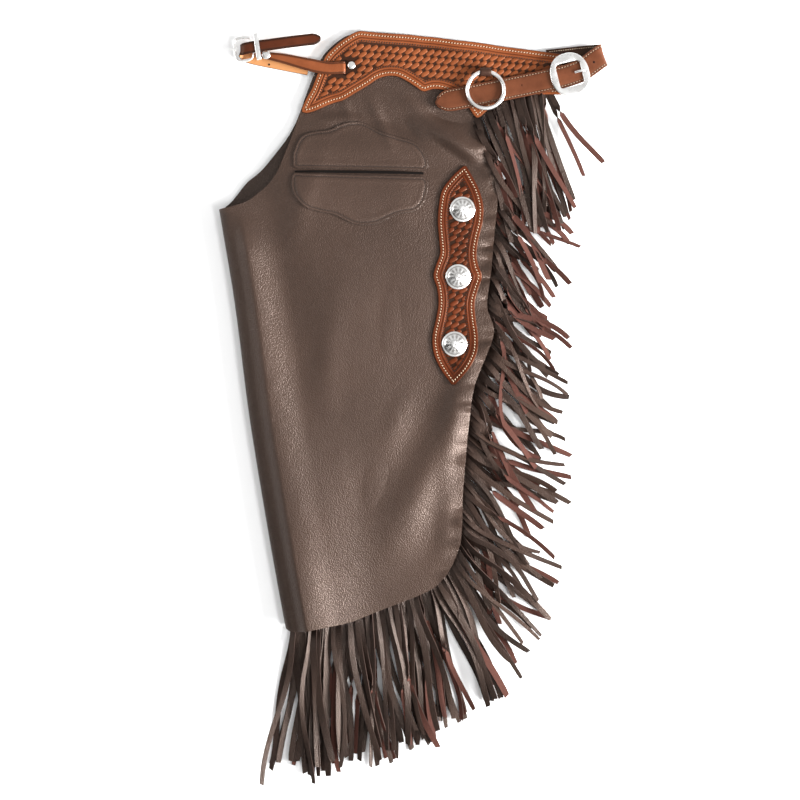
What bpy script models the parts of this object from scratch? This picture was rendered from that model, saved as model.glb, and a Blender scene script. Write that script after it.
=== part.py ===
# Leather show chaps, a pair folded at the centre front and laid flat.
# The left leg lies on top, face up, and the right leg is folded away under it.
# Sizes are in millimetres, in a frame centred under the part, +Y towards the waist.
# Each object is written in metres, +Z up, resting on z = 0.

import math

import bmesh
import bpy
from mathutils import Matrix, Vector

MM = 0.001

# Leather thicknesses and the clearance between pieces that touch.
HIDE = 2.0
TOOLED = 3.0
SEAT = 0.3
LAY = 0.9
ON_LEG = 0.8
SINK = 1.0
DRAPE = 0.8
STRIP = 2.2

# Heights of the folded right leg, at its edges, in its middle and at the waist.
UNDER_EDGE = 5.0
UNDER_CROWN = 13.0
UNDER_RUN = 125.0
UNDER_HIP = 2.2
YOKE_LIFT = TOOLED + SEAT
LIFT_START = 335.0
LIFT_RUN = 30.0
HIP_START = 285.0
HIP_RUN = 135.0
STRIP_TOP = 364.0

# The rolled inner fold of the left leg.
ROLL_WIDTH = 12.0
ROLL_GAP = 11.2
CROTCH_Y = 280.0

# Setbacks from the outer seam and the hem, where the fringe is sewn in.
BACK_SET = 14.0
STRIP_SET = 12.0
UNDER_SET = 9.0

# Inner fold and outer seam of the leg, by height.
FOLD = (
    # y, x
    (-312.0, -178.0),
    (-251.0, -189.5),
    (-125.0, -211.5),
    (0.0, -231.5),
    (148.0, -250.5),
    (278.0, -272.0),
    (536.0, -315.0),
)
SEAM = (
    # y, x
    (-229.0, 48.0),
    (-212.0, 57.0),
    (-183.0, 66.5),
    (-110.0, 70.0),
    (-13.0, 78.5),
    (34.0, 85.5),
    (79.0, 103.0),
    (112.0, 113.0),
    (145.0, 103.5),
    (191.0, 108.5),
    (248.0, 113.5),
    (302.0, 117.5),
    (348.0, 107.0),
    (379.0, 97.5),
    (409.0, 90.5),
    (440.0, 96.0),
    (480.0, 104.0),
    (518.0, 110.0),
)
# The right leg's outer seam lies straighter, just inside the left one.
UNDER_SEAM = (
    # y, x
    (-229.0, 48.0),
    (-212.0, 56.0),
    (-183.0, 63.5),
    (-110.0, 69.5),
    (-13.0, 77.5),
    (34.0, 84.0),
    (100.0, 94.0),
    (191.0, 106.0),
    (302.0, 113.0),
    (348.0, 106.0),
    (379.0, 97.0),
    (409.0, 90.5),
    (440.0, 94.0),
    (518.0, 104.0),
)
HEM = (
    # x, y
    (-190.0, -310.0),
    (-162.0, -310.0),
    (-125.0, -303.5),
    (-90.0, -297.0),
    (-47.0, -281.0),
    (-13.0, -268.0),
    (14.0, -257.0),
    (33.0, -246.0),
    (48.0, -229.0),
)
# Top edge of the front panel: crotch curve, side of the yoke, then the waist.
TOP_EDGE = (
    # x, y
    (-274.0, 281.0),
    (-250.0, 287.0),
    (-232.0, 293.5),
    (-217.5, 304.5),
    (-203.5, 317.0),
    (-190.5, 335.5),
    (-179.0, 363.5),
    (-170.0, 387.0),
    (-163.0, 407.0),
    (-153.0, 437.5),
    (-138.0, 476.5),
    (-128.0, 497.0),
    (-116.5, 510.0),
    (-103.0, 521.0),
    (-90.0, 527.5),
    (-47.0, 528.5),
    (2.0, 524.5),
    (50.0, 519.5),
    (112.0, 512.0),
)
# Edge of the right leg's front panel, which shows beyond the crotch curve.
UNDER_TOP = (
    # x, y
    (-272.0, 280.0),
    (-256.0, 293.0),
    (-243.5, 308.5),
    (-233.0, 321.0),
    (-215.0, 335.5),
    (-197.0, 356.5),
    (-177.0, 383.0),
    (-165.0, 405.0),
    (-158.0, 422.0),
    (-148.0, 440.0),
    (-133.0, 476.5),
    (-112.0, 509.0),
    (-90.0, 523.0),
    (-47.0, 525.0),
    (50.0, 516.0),
    (112.0, 508.0),
)
# The tooled yoke, by station along the waist.
YOKE = (
    # x, lower edge y, upper edge y
    (-157.0, 419.0, 424.0),
    (-151.0, 417.5, 437.5),
    (-143.0, 419.0, 452.0),
    (-133.5, 422.5, 476.5),
    (-124.0, 427.0, 497.0),
    (-112.5, 431.5, 510.0),
    (-99.0, 435.5, 521.0),
    (-78.5, 447.5, 532.5),
    (-62.0, 457.5, 532.0),
    (-50.0, 465.5, 531.0),
    (-37.0, 469.5, 530.0),
    (-22.0, 468.5, 529.0),
    (-8.0, 461.5, 528.0),
    (2.0, 455.0, 527.0),
    (13.5, 448.0, 525.5),
    (27.0, 451.0, 524.5),
    (40.0, 450.0, 523.0),
    (58.0, 442.5, 520.5),
    (77.0, 425.5, 518.5),
    (89.0, 411.0, 517.0),
    (103.0, 420.5, 515.0),
    (121.0, 434.5, 512.0),
    (148.0, 443.0, 508.5),
    (178.0, 443.5, 504.5),
    (209.0, 443.5, 500.5),
)
# The two halves of the pocket, by station across the leg.
POCKET_UPPER = (
    # x, lower edge y, upper edge y
    (-169.0, 342.0, 358.0),
    (-163.0, 339.0, 376.0),
    (-154.0, 339.0, 387.0),
    (-138.0, 338.5, 392.0),
    (-118.0, 338.5, 394.5),
    (-104.0, 338.0, 401.0),
    (-90.0, 338.0, 405.0),
    (-72.0, 337.5, 405.0),
    (-62.0, 337.5, 401.0),
    (-45.0, 337.0, 391.5),
    (-19.0, 336.5, 383.5),
    (3.0, 336.0, 376.0),
    (15.0, 336.0, 363.0),
    (20.5, 341.0, 350.0),
)
POCKET_LOWER = (
    # x, lower edge y, upper edge y
    (-171.0, 313.0, 327.0),
    (-167.0, 301.0, 332.5),
    (-153.0, 285.0, 332.0),
    (-134.0, 278.0, 331.5),
    (-112.0, 273.5, 331.0),
    (-99.0, 267.5, 330.5),
    (-84.0, 260.5, 330.0),
    (-68.0, 259.0, 329.5),
    (-50.0, 261.5, 329.5),
    (-33.0, 269.5, 329.0),
    (-18.0, 275.0, 328.5),
    (3.0, 279.5, 328.0),
    (15.0, 292.0, 327.5),
    (20.5, 309.0, 321.0),
)
# The concho plate, by station down the leg.
PLATE = (
    # y, left x, right x
    (343.0, 70.0, 74.0),
    (329.0, 55.0, 82.0),
    (309.0, 40.0, 92.0),
    (286.0, 35.0, 98.0),
    (264.0, 33.5, 97.0),
    (239.0, 35.5, 91.0),
    (219.0, 36.5, 88.5),
    (203.0, 31.0, 91.0),
    (188.0, 27.5, 96.0),
    (171.0, 32.5, 91.0),
    (151.0, 34.5, 86.0),
    (130.0, 31.5, 87.0),
    (103.0, 26.0, 90.5),
    (80.0, 28.0, 88.5),
    (59.0, 37.0, 78.0),
    (36.0, 53.0, 58.0),
)
CONCHOS = (
    # x, y
    (68.5, 281.5),
    (62.5, 187.0),
    (57.5, 93.0),
)
CONCHO_RADIUS = 17.5
CONCHO_HEIGHT = 6.0

# Fringe, from the top of the outer seam down, and from the corner along the hem.
SIDE_FRINGE = (
    # root y, heading in degrees, strand length
    (362.0, -56.0, 108.0),
    (300.0, -59.0, 108.0),
    (200.0, -55.0, 122.0),
    (100.0, -51.0, 134.0),
    (0.0, -47.0, 155.0),
    (-100.0, -47.0, 172.0),
    (-190.0, -53.0, 184.0),
    (-228.0, -60.0, 190.0),
)
HEM_FRINGE = (
    # root x, heading in degrees, strand length
    (47.0, -63.0, 190.0),
    (14.0, -76.0, 202.0),
    (-47.0, -84.0, 210.0),
    (-110.0, -90.0, 208.0),
    (-162.0, -95.0, 217.2),
)
HIP_FRINGE = (
    # root x, root y, heading in degrees, strand length
    (188.0, 452.0, -69.0, 138.0),
    (168.0, 452.0, -75.0, 192.0),
    (146.0, 451.0, -77.0, 202.0),
    (122.0, 443.0, -73.0, 196.0),
    (105.0, 427.0, -69.0, 184.0),
)
STRAND_PITCH = 10.0
HEM_PITCH = 8.6
HIP_PITCH = 6.0
STRAND_WIDTH = 8.2
STRAND_THICK = 1.0
ROOT_GAP = 1.4
LANES_TOP = (4.8, 6.1, 7.4, 8.7)
LANES_UNDER = (0.9, 2.15, 3.4)
LANES_HIP = (10.2, 11.5, 12.8, 14.1)
# Each lane's strands lie parallel, and cross those of the next lane.
LANE_TURN = (-5.0, 1.0, 5.0, -2.0)
LANE_BEND = (7.0, -8.0, 3.0, -3.0)

# Straps: the belt and the small front strap.
BELT_WIDTH = 31.5
BELT_THICK = 3.0
BELT = (
    # x, y, centre z, direction of the width in degrees, width
    (31.0, 431.5, 13.3, 98.0, 9.0),
    (35.0, 432.0, 13.3, 98.0, 20.0),
    (42.0, 433.5, 13.3, 99.0, 29.0),
    (52.0, 435.5, 13.3, 100.0, 31.5),
    (76.0, 440.0, 13.3, 100.5, 31.5),
    (134.0, 451.7, 13.3, 102.0, 31.5),
    (165.0, 458.0, 14.2, 102.5, 31.5),
    (190.0, 463.0, 16.6, 104.0, 31.5),
    (205.0, 466.3, 17.0, 107.0, 31.5),
    (219.0, 470.3, 17.0, 112.0, 31.5),
    (233.0, 475.5, 17.0, 119.0, 31.5),
    (245.0, 483.2, 17.0, 123.0, 31.5),
    (255.5, 491.0, 17.0, 121.0, 31.5),
    (262.5, 496.0, 15.6, 115.0, 31.5),
    (265.7, 498.5, 11.2, 110.0, 31.5),
    (262.0, 499.0, 6.6, 104.0, 31.5),
    (253.0, 498.3, 5.1, 99.0, 31.5),
    (225.0, 495.5, 5.0, 96.0, 31.5),
    (188.0, 491.5, 5.0, 96.0, 31.5),
)
FRONT_STRAP_THICK = 2.4
FRONT_STRAP = (
    # x, y, centre z, direction of the width in degrees, width
    (-96.6, 480.8, 9.4, 92.0, 17.5),
    (-96.6, 480.8, 12.1, 92.0, 17.5),
    (-98.3, 480.8, 13.9, 92.0, 17.5),
    (-103.0, 480.8, 14.0, 91.0, 17.5),
    (-120.0, 480.3, 13.7, 88.0, 17.5),
    (-142.0, 484.2, 13.2, 78.0, 18.0),
    (-180.0, 493.5, 12.0, 76.0, 14.0),
    (-200.0, 497.3, 11.3, 77.0, 11.0),
    (-214.0, 500.5, 10.9, 77.0, 11.0),
    (-222.0, 502.3, 10.8, 77.0, 11.0),
)
BILLET_THICK = 2.2
BILLET = (
    # x, y, centre z, direction of the width in degrees, width
    (-148.0, 479.0, 4.6, 78.0, 15.0),
    (-190.0, 487.5, 4.5, 78.0, 16.0),
    (-226.0, 495.0, 4.4, 78.5, 16.0),
    (-237.0, 500.0, 5.4, 81.0, 16.0),
    (-242.0, 504.5, 9.8, 85.0, 16.0),
    (-238.5, 507.0, 14.2, 89.0, 16.0),
    (-230.0, 508.8, 15.8, 92.0, 16.5),
    (-222.0, 510.0, 15.8, 96.0, 16.5),
    (-180.0, 515.8, 16.0, 97.5, 17.5),
    (-148.0, 519.8, 16.0, 97.0, 18.5),
    (-137.0, 521.0, 16.0, 97.0, 14.0),
    (-130.0, 521.8, 16.0, 97.0, 6.0),
)

# Rope ring and its loop.
RING_CENTRE = (101.0, 449.0)
RING_RADIUS = 25.7
RING_WIRE = 2.85
RING_Z = 17.95
LOOP_WIDTH = 16.0
LOOP_WALL = 1.3
LOOP_CLEAR = 1.7


def smooth(t):
    """Soft step from 0 to 1."""
    t = min(1.0, max(0.0, t))
    return t * t * (3.0 - 2.0 * t)


def read(table, at, column=1):
    """Read a column of a table at a value of its first column, along a smooth curve."""
    rows = table if table[0][0] < table[-1][0] else table[::-1]
    if at <= rows[0][0]:
        return rows[0][column]
    if at >= rows[-1][0]:
        return rows[-1][column]
    k = next(i for i in range(len(rows) - 1) if at <= rows[i + 1][0])

    def slope(i):
        lo = max(i - 1, 0)
        hi = min(i + 1, len(rows) - 1)
        return (rows[hi][column] - rows[lo][column]) / (rows[hi][0] - rows[lo][0])

    span = rows[k + 1][0] - rows[k][0]
    t = (at - rows[k][0]) / span
    a = rows[k][column]
    b = rows[k + 1][column]
    h = t * t * (3.0 - 2.0 * t)
    bend = slope(k) * t * (1.0 - t) ** 2 - slope(k + 1) * t * t * (1.0 - t)
    return a + (b - a) * h + span * bend


def fold_x(y):
    return read(FOLD, y)


def seam_x(y):
    return read(SEAM, y)


def hem_y(x):
    return read(HEM, x)


def seam_in(table, y, inset):
    """A line that runs inset millimetres inside an outer seam."""
    slope = (read(table, y + 4.0) - read(table, y - 4.0)) / 8.0
    return read(table, y) - inset * math.hypot(1.0, slope)


def hem_in(x, inset):
    """A line that runs inset millimetres above the hem."""
    slope = (hem_y(x + 4.0) - hem_y(x - 4.0)) / 8.0
    return hem_y(x) + inset * math.hypot(1.0, slope)


def hip(y):
    """0 on the leg, 1 from the lower edge of the yoke up."""
    return smooth((y - HIP_START) / HIP_RUN)


def under_base(y):
    """Underside of the right leg: on the floor, and over its own yoke at the waist."""
    return YOKE_LIFT * smooth((y - LIFT_START) / LIFT_RUN)


def under_top(x, y):
    """Upper face of the folded right leg."""
    from_fold = smooth((x - fold_x(y) - 2.0) / UNDER_RUN)
    from_seam = smooth((read(UNDER_SEAM, y) - x - BACK_SET) / UNDER_RUN)
    from_hem = smooth((y - hem_y(x) - BACK_SET) / UNDER_RUN)
    leg = UNDER_EDGE + UNDER_CROWN * from_fold * from_seam * from_hem
    waist = under_base(y) + UNDER_HIP
    return leg + (waist - leg) * hip(y)


def ruffle(x, y):
    """The front panel's waves along the outer seam."""
    near = math.exp(-((seam_x(y) - x) / 10.0) ** 2)
    fade = smooth((400.0 - y) / 60.0)
    return 2.6 * near * fade * (0.5 + 0.5 * math.sin(y * 2.0 * math.pi / 88.0 + 0.6))


def leg_inner(x, y):
    """Lower face of the left leg's front panel."""
    back = (LAY + HIDE + DRAPE) * (1.0 - smooth((y - STRIP_TOP) / 45.0))
    rolled = 1.0 - smooth((x - fold_x(y) - ROLL_WIDTH) / 70.0)
    rolled *= 1.0 - smooth((y - CROTCH_Y - 3.0) / 120.0)
    in_middle = smooth((seam_x(y) - x - STRIP_SET) / 40.0)
    spare = 0.5 * in_middle * (1.0 - hip(y))
    gap = spare + (ROLL_GAP - spare) * rolled
    return under_top(x, y) + SEAT + back + gap + ruffle(x, y)


def leg_outer(x, y):
    """Upper face of the left leg's front panel."""
    return leg_inner(x, y) + HIDE


def make(name, points, faces, colour, roughness=0.6, metallic=0.0, smooth_angle=40.0):
    """Write one closed body, given in millimetres, as an object with its own material."""
    bm = bmesh.new()
    made = [bm.verts.new(Vector(p) * MM) for p in points]
    for face in faces:
        bm.faces.new([made[i] for i in face])
    bmesh.ops.recalc_face_normals(bm, faces=bm.faces)
    mesh = bpy.data.meshes.new(name)
    bm.to_mesh(mesh)
    bm.free()
    obj = bpy.data.objects.new(name, mesh)
    bpy.context.scene.collection.objects.link(obj)
    material = bpy.data.materials.new(name)
    material.use_nodes = True
    shader = material.node_tree.nodes["Principled BSDF"]
    shader.inputs["Base Color"].default_value = (*colour, 1.0)
    shader.inputs["Roughness"].default_value = roughness
    shader.inputs["Metallic"].default_value = metallic
    mesh.materials.append(material)
    mesh.shade_smooth()
    mesh.set_sharp_from_angle(angle=math.radians(smooth_angle))
    return obj


CHOCOLATE = (0.15, 0.10, 0.08)
RUSSET = (0.50, 0.19, 0.08)
BILLET_BROWN = (0.16, 0.05, 0.02)
BELT_TAN = (0.46, 0.18, 0.08)
FRINGE_BROWN = (0.17, 0.09, 0.07)
SILVER = (0.80, 0.80, 0.78)


def shell(name, outer, inner, colour):
    """Close a wall between two grids of points, both given column by column."""
    columns = len(outer)
    rows = len(outer[0])
    points = [p for column in outer for p in column]
    offset = len(points)
    points += [p for column in inner for p in column]
    faces = []
    for i in range(columns - 1):
        for j in range(rows - 1):
            a = i * rows + j
            b = a + rows
            faces.append((a, b, b + 1, a + 1))
            faces.append((offset + a, offset + a + 1, offset + b + 1, offset + b))
    for i in range(columns - 1):
        for j in (0, rows - 1):
            a = i * rows + j
            faces.append((a, a + rows, offset + a + rows, offset + a))
    for j in range(rows - 1):
        for i in (0, columns - 1):
            a = i * rows + j
            faces.append((a, a + 1, offset + a + 1, offset + a))
    return make(name, points, faces, colour)


def meet(x_at, edge, low, high):
    """Height where a column of the leg meets an edge whose height is given by x."""
    for _ in range(40):
        middle = 0.5 * (low + high)
        if middle < edge(x_at(middle)):
            low = middle
        else:
            high = middle
    return 0.5 * (low + high)


def top_y(x):
    return read(TOP_EDGE, x)


def under_y(x):
    return read(UNDER_TOP, x)


def hem_in_back(x):
    return hem_in(x, BACK_SET)


def hem_in_under(x):
    return hem_in(x, UNDER_SET)


LEG_ROWS = 32
FRONT_COLUMNS = 17
ROLL_COLUMNS = 5
BACK_COLUMNS = 6


def make_leg_top():
    """Left leg: one hide from the outer seam across the front, round the fold to the back."""
    outer = []
    inner = []
    for i in range(FRONT_COLUMNS):
        share = (i / (FRONT_COLUMNS - 1.0)) ** 0.92

        def x_at(y, share=share):
            right = seam_x(y)
            return right + (fold_x(y) + ROLL_WIDTH - right) * share

        low = meet(x_at, hem_y, -320.0, -200.0)
        high = meet(x_at, top_y, 270.0, 540.0)
        heights = [low + (high - low) * j / (LEG_ROWS - 1.0) for j in range(LEG_ROWS)]
        outer.append([(x_at(y), y, leg_outer(x_at(y), y)) for y in heights])
        inner.append([(x_at(y), y, leg_inner(x_at(y), y)) for y in heights])
    low_edge = outer[-1][0][1]
    high_edge = outer[-1][-1][1]
    for i in range(1, ROLL_COLUMNS + 1):
        turn = math.pi * i / (ROLL_COLUMNS + 1.0)
        rise = BACK_SET * smooth(i / (ROLL_COLUMNS + 1.0))
        start = low_edge + rise
        end = high_edge - (high_edge - CROTCH_Y) * math.sin(turn / 2.0)
        outer.append([])
        inner.append([])
        for j in range(LEG_ROWS):
            y = start + (end - start) * j / (LEG_ROWS - 1.0)
            x = fold_x(y) + ROLL_WIDTH
            top = leg_outer(x, y)
            bottom = under_top(x, y) + LAY
            centre = 0.5 * (top + bottom)
            half = 0.5 * (top - bottom)
            out = math.sin(turn)
            up = math.cos(turn)
            outer[-1].append((x - ROLL_WIDTH * out, y, centre + half * up))
            inner[-1].append((x - (ROLL_WIDTH - HIDE) * out, y, centre + (half - HIDE) * up))
    for i in range(BACK_COLUMNS):
        share = i / (BACK_COLUMNS - 1.0)

        def x_at(y, share=share):
            left = fold_x(y) + ROLL_WIDTH
            return left + (seam_in(UNDER_SEAM, y, BACK_SET) - left) * share

        low = meet(x_at, hem_in_back, -320.0, -180.0)
        high = CROTCH_Y + 2.0
        heights = [low + (high - low) * j / (LEG_ROWS - 1.0) for j in range(LEG_ROWS)]
        outer.append([(x_at(y), y, under_top(x_at(y), y) + LAY) for y in heights])
        inner.append([(x_at(y), y, under_top(x_at(y), y) + LAY + HIDE) for y in heights])
    return shell("leg_top", outer, inner, CHOCOLATE)


def make_leg_under():
    """Right leg: its hidden layers as one rounded solid, with the layers cut in at the edges."""
    columns = 12
    rows = 27
    top = []
    plan = []
    for i in range(columns):
        share = i / (columns - 1.0)

        def x_at(y, share=share):
            left = fold_x(y) + 2.0
            return left + (seam_in(UNDER_SEAM, y, UNDER_SET) - left) * share

        low = meet(x_at, hem_in_under, -320.0, -180.0)
        high = meet(x_at, under_y, 270.0, 540.0)
        heights = [low + (high - low) * j / (rows - 1.0) for j in range(rows)]
        plan.append([(x_at(y), y) for y in heights])
        top.append([under_top(x_at(y), y) - SINK for y in heights])
    rim = [(i, 0) for i in range(columns)]
    rim += [(columns - 1, j) for j in range(1, rows)]
    rim += [(i, rows - 1) for i in range(columns - 2, -1, -1)]
    rim += [(0, j) for j in range(rows - 2, 0, -1)]
    points = []
    for i in range(columns):
        for j in range(rows):
            x, y = plan[i][j]
            points.append((x, y, top[i][j]))
    lower = len(points)
    for i in range(columns):
        for j in range(rows):
            x, y = plan[i][j]
            points.append((x, y, under_base(y)))
    faces = []
    for i in range(columns - 1):
        for j in range(rows - 1):
            a = i * rows + j
            b = a + rows
            faces.append((a, b, b + 1, a + 1))
            faces.append((lower + a, lower + a + 1, lower + b + 1, lower + b))
    # The edge has a notch half way up, where one layer lies on the other.
    loops = [[i * rows + j for i, j in rim]]
    for level, inset in ((0.58, 0.0), (0.5, 1.2), (0.42, 0.0)):
        loop = []
        for n, (i, j) in enumerate(rim):
            x, y = plan[i][j]
            before = plan[rim[n - 1][0]][rim[n - 1][1]]
            after = plan[rim[(n + 1) % len(rim)][0]][rim[(n + 1) % len(rim)][1]]
            along = Vector((after[0] - before[0], after[1] - before[1])).normalized()
            base = under_base(y)
            z = base + (top[i][j] - base) * level
            loop.append(len(points))
            points.append((x - along.y * inset, y + along.x * inset, z))
        loops.append(loop)
    loops.append([lower + i * rows + j for i, j in rim])
    for upper_loop, lower_loop in zip(loops, loops[1:]):
        for n in range(len(rim)):
            m = (n + 1) % len(rim)
            faces.append((upper_loop[n], upper_loop[m], lower_loop[m], lower_loop[n]))
    return make("leg_under", points, faces, CHOCOLATE)


def thicken(name, plan, bottom_at, thick, colour, slot=None):
    """Lay a flat piece on a surface: plan is a grid of (x, y), slot a cell left open."""
    columns = len(plan)
    rows = len(plan[0])
    points = []
    for extra in (thick, 0.0):
        for column in plan:
            points += [(x, y, bottom_at(x, y) + extra) for x, y in column]
    lower = columns * rows
    faces = []
    edges = {}
    for i in range(columns - 1):
        for j in range(rows - 1):
            if slot == (i, j):
                continue
            a = i * rows + j
            b = a + rows
            faces.append((a, b, b + 1, a + 1))
            faces.append((lower + a, lower + a + 1, lower + b + 1, lower + b))
            for edge in ((a, b), (b, b + 1), (b + 1, a + 1), (a + 1, a)):
                if edge[::-1] in edges:
                    del edges[edge[::-1]]
                else:
                    edges[edge] = True
    for a, b in edges:
        faces.append((b, a, lower + a, lower + b))
    return make(name, points, faces, colour)


def station_grid(table, shares):
    """Plan points of a piece whose table gives its lower and upper edge by x."""
    return [[(x, low + (high - low) * s) for s in shares] for x, low, high in table]


def on_leg(x, y):
    """Height just clear of the leg's upper face, read from the face itself."""
    z = leg_outer(min(x, seam_x(y)), y)
    leg = bpy.data.objects["leg_top"]
    found, place, _, _ = leg.ray_cast(Vector((x, y, 60.0)) * MM, Vector((0.0, 0.0, -1.0)))
    if found:
        z = max(z, place.z / MM)
    return z + ON_LEG


def make_yoke_top():
    slot_left = (-98.2, YOKE[6][1], YOKE[6][2])
    slot_right = (-95.0, YOKE[6][1] + 2.0, YOKE[6][2] + 1.0)
    table = YOKE[:6] + (slot_left, slot_right) + YOKE[7:]
    plan = station_grid(table, (0.0, 0.2, 0.40, 0.66, 0.85, 1.0))
    return thicken("yoke_top", plan, on_leg, TOOLED, RUSSET, slot=(6, 2))


def make_yoke_under():
    table = [(x, low + 14.0, high - 9.0) for x, low, high in YOKE[2:-1:2]]
    plan = station_grid(table, (0.0, 1.0))
    return thicken("yoke_under", plan, lambda x, y: 0.0, TOOLED, RUSSET)


def make_pockets():
    shares = (0.0, 0.25, 0.5, 0.75, 1.0)
    thicken("pocket_upper", station_grid(POCKET_UPPER, shares), on_leg, HIDE, CHOCOLATE)
    thicken("pocket_lower", station_grid(POCKET_LOWER, shares), on_leg, HIDE, CHOCOLATE)


def make_concho_plate():
    shares = (0.0, 0.2, 0.4, 0.6, 0.8, 1.0)
    plan = [[(left + (right - left) * s, y) for s in shares] for y, left, right in PLATE]
    thicken("concho_plate", plan, on_leg, TOOLED, RUSSET)


def make_dome(name, centre, radius, height, seat_at, rings, sides=18, colour=SILVER):
    """A domed metal button that follows what it is set on."""
    points = []
    for share, level in rings:
        for k in range(sides):
            a = 2.0 * math.pi * k / sides
            x = centre[0] + radius * share * math.cos(a)
            y = centre[1] + radius * share * math.sin(a)
            points.append((x, y, seat_at(x, y) + height * level))
    faces = []
    for r in range(len(rings) - 1):
        for k in range(sides):
            m = (k + 1) % sides
            faces.append((r * sides + k, r * sides + m, (r + 1) * sides + m, (r + 1) * sides + k))
    faces.append(tuple(range(sides)))
    faces.append(tuple((len(rings) - 1) * sides + k for k in range(sides)))
    return make(name, points, faces, colour, 0.2, 1.0)


CONCHO_RINGS = ((0.9, 0.0), (1.0, 0.1), (0.97, 0.24), (0.86, 0.3), (0.62, 0.66), (0.3, 0.93), (0.08, 1.0))
RIVET_RINGS = ((1.0, 0.0), (1.0, 0.35), (0.75, 0.8), (0.35, 1.0))


def make_conchos():
    def seat(x, y):
        return on_leg(x, y) + TOOLED + SEAT

    for n, centre in enumerate(CONCHOS):
        make_dome("concho_%d" % (n + 1), centre, CONCHO_RADIUS, CONCHO_HEIGHT, seat, CONCHO_RINGS)


def make_strap(name, table, thick, colour):
    """A flat strap along a route, with its width lying across it."""
    centres = [Vector(row[:3]) for row in table]
    points = []
    for n, row in enumerate(table):
        before = centres[max(n - 1, 0)]
        after = centres[min(n + 1, len(table) - 1)]
        along = (after - before).normalized()
        turn = math.radians(row[3])
        across = Vector((math.cos(turn), math.sin(turn), 0.0))
        across = (across - along * across.dot(along)).normalized()
        up = along.cross(across)
        for side, face in ((-1, -1), (1, -1), (1, 1), (-1, 1)):
            points.append(centres[n] + across * (side * row[4] / 2.0) + up * (face * thick / 2.0))
    faces = [(0, 1, 2, 3)]
    for n in range(len(table) - 1):
        a = n * 4
        for k in range(4):
            m = (k + 1) % 4
            faces.append((a + k, a + m, a + 4 + m, a + 4 + k))
    last = 4 * (len(table) - 1)
    faces.append((last, last + 1, last + 2, last + 3))
    return make(name, points, faces, colour)


def wobble(seed):
    """A repeatable value from -1 to 1 for one strand."""
    value = math.sin(seed * 12.9898 + 4.1) * 43758.5453
    return 2.0 * (value - math.floor(value)) - 1.0


def along_edge(roots, headings, lengths, inset):
    """Spaced points along an edge, moved inwards, each with its strand's heading and length."""
    fine = []
    for k in range(len(roots) - 1):
        for n in range(40):
            t = n / 40.0
            here = Vector(roots[k]).lerp(Vector(roots[k + 1]), t)
            fine.append((here, headings[k] + (headings[k + 1] - headings[k]) * t,
                         lengths[k] + (lengths[k + 1] - lengths[k]) * t))
    fine.append((Vector(roots[-1]), headings[-1], lengths[-1]))
    moved = []
    for k, (here, heading, length) in enumerate(fine):
        before = fine[max(k - 6, 0)][0]
        after = fine[min(k + 6, len(fine) - 1)][0]
        along = (after - before).normalized()
        moved.append((here + Vector((along.y, -along.x)) * inset, heading, length))
    return moved


def dense(table, edge_at):
    """Refine a fringe table so that its roots follow the edge's curve."""
    rows = []
    for a, b in zip(table, table[1:]):
        for n in range(12):
            t = n / 12.0
            rows.append([p + (q - p) * t for p, q in zip(a, b)])
    rows.append(list(table[-1]))
    return [edge_at(row[0]) for row in rows], [row[-2] for row in rows], [row[-1] for row in rows]


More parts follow.
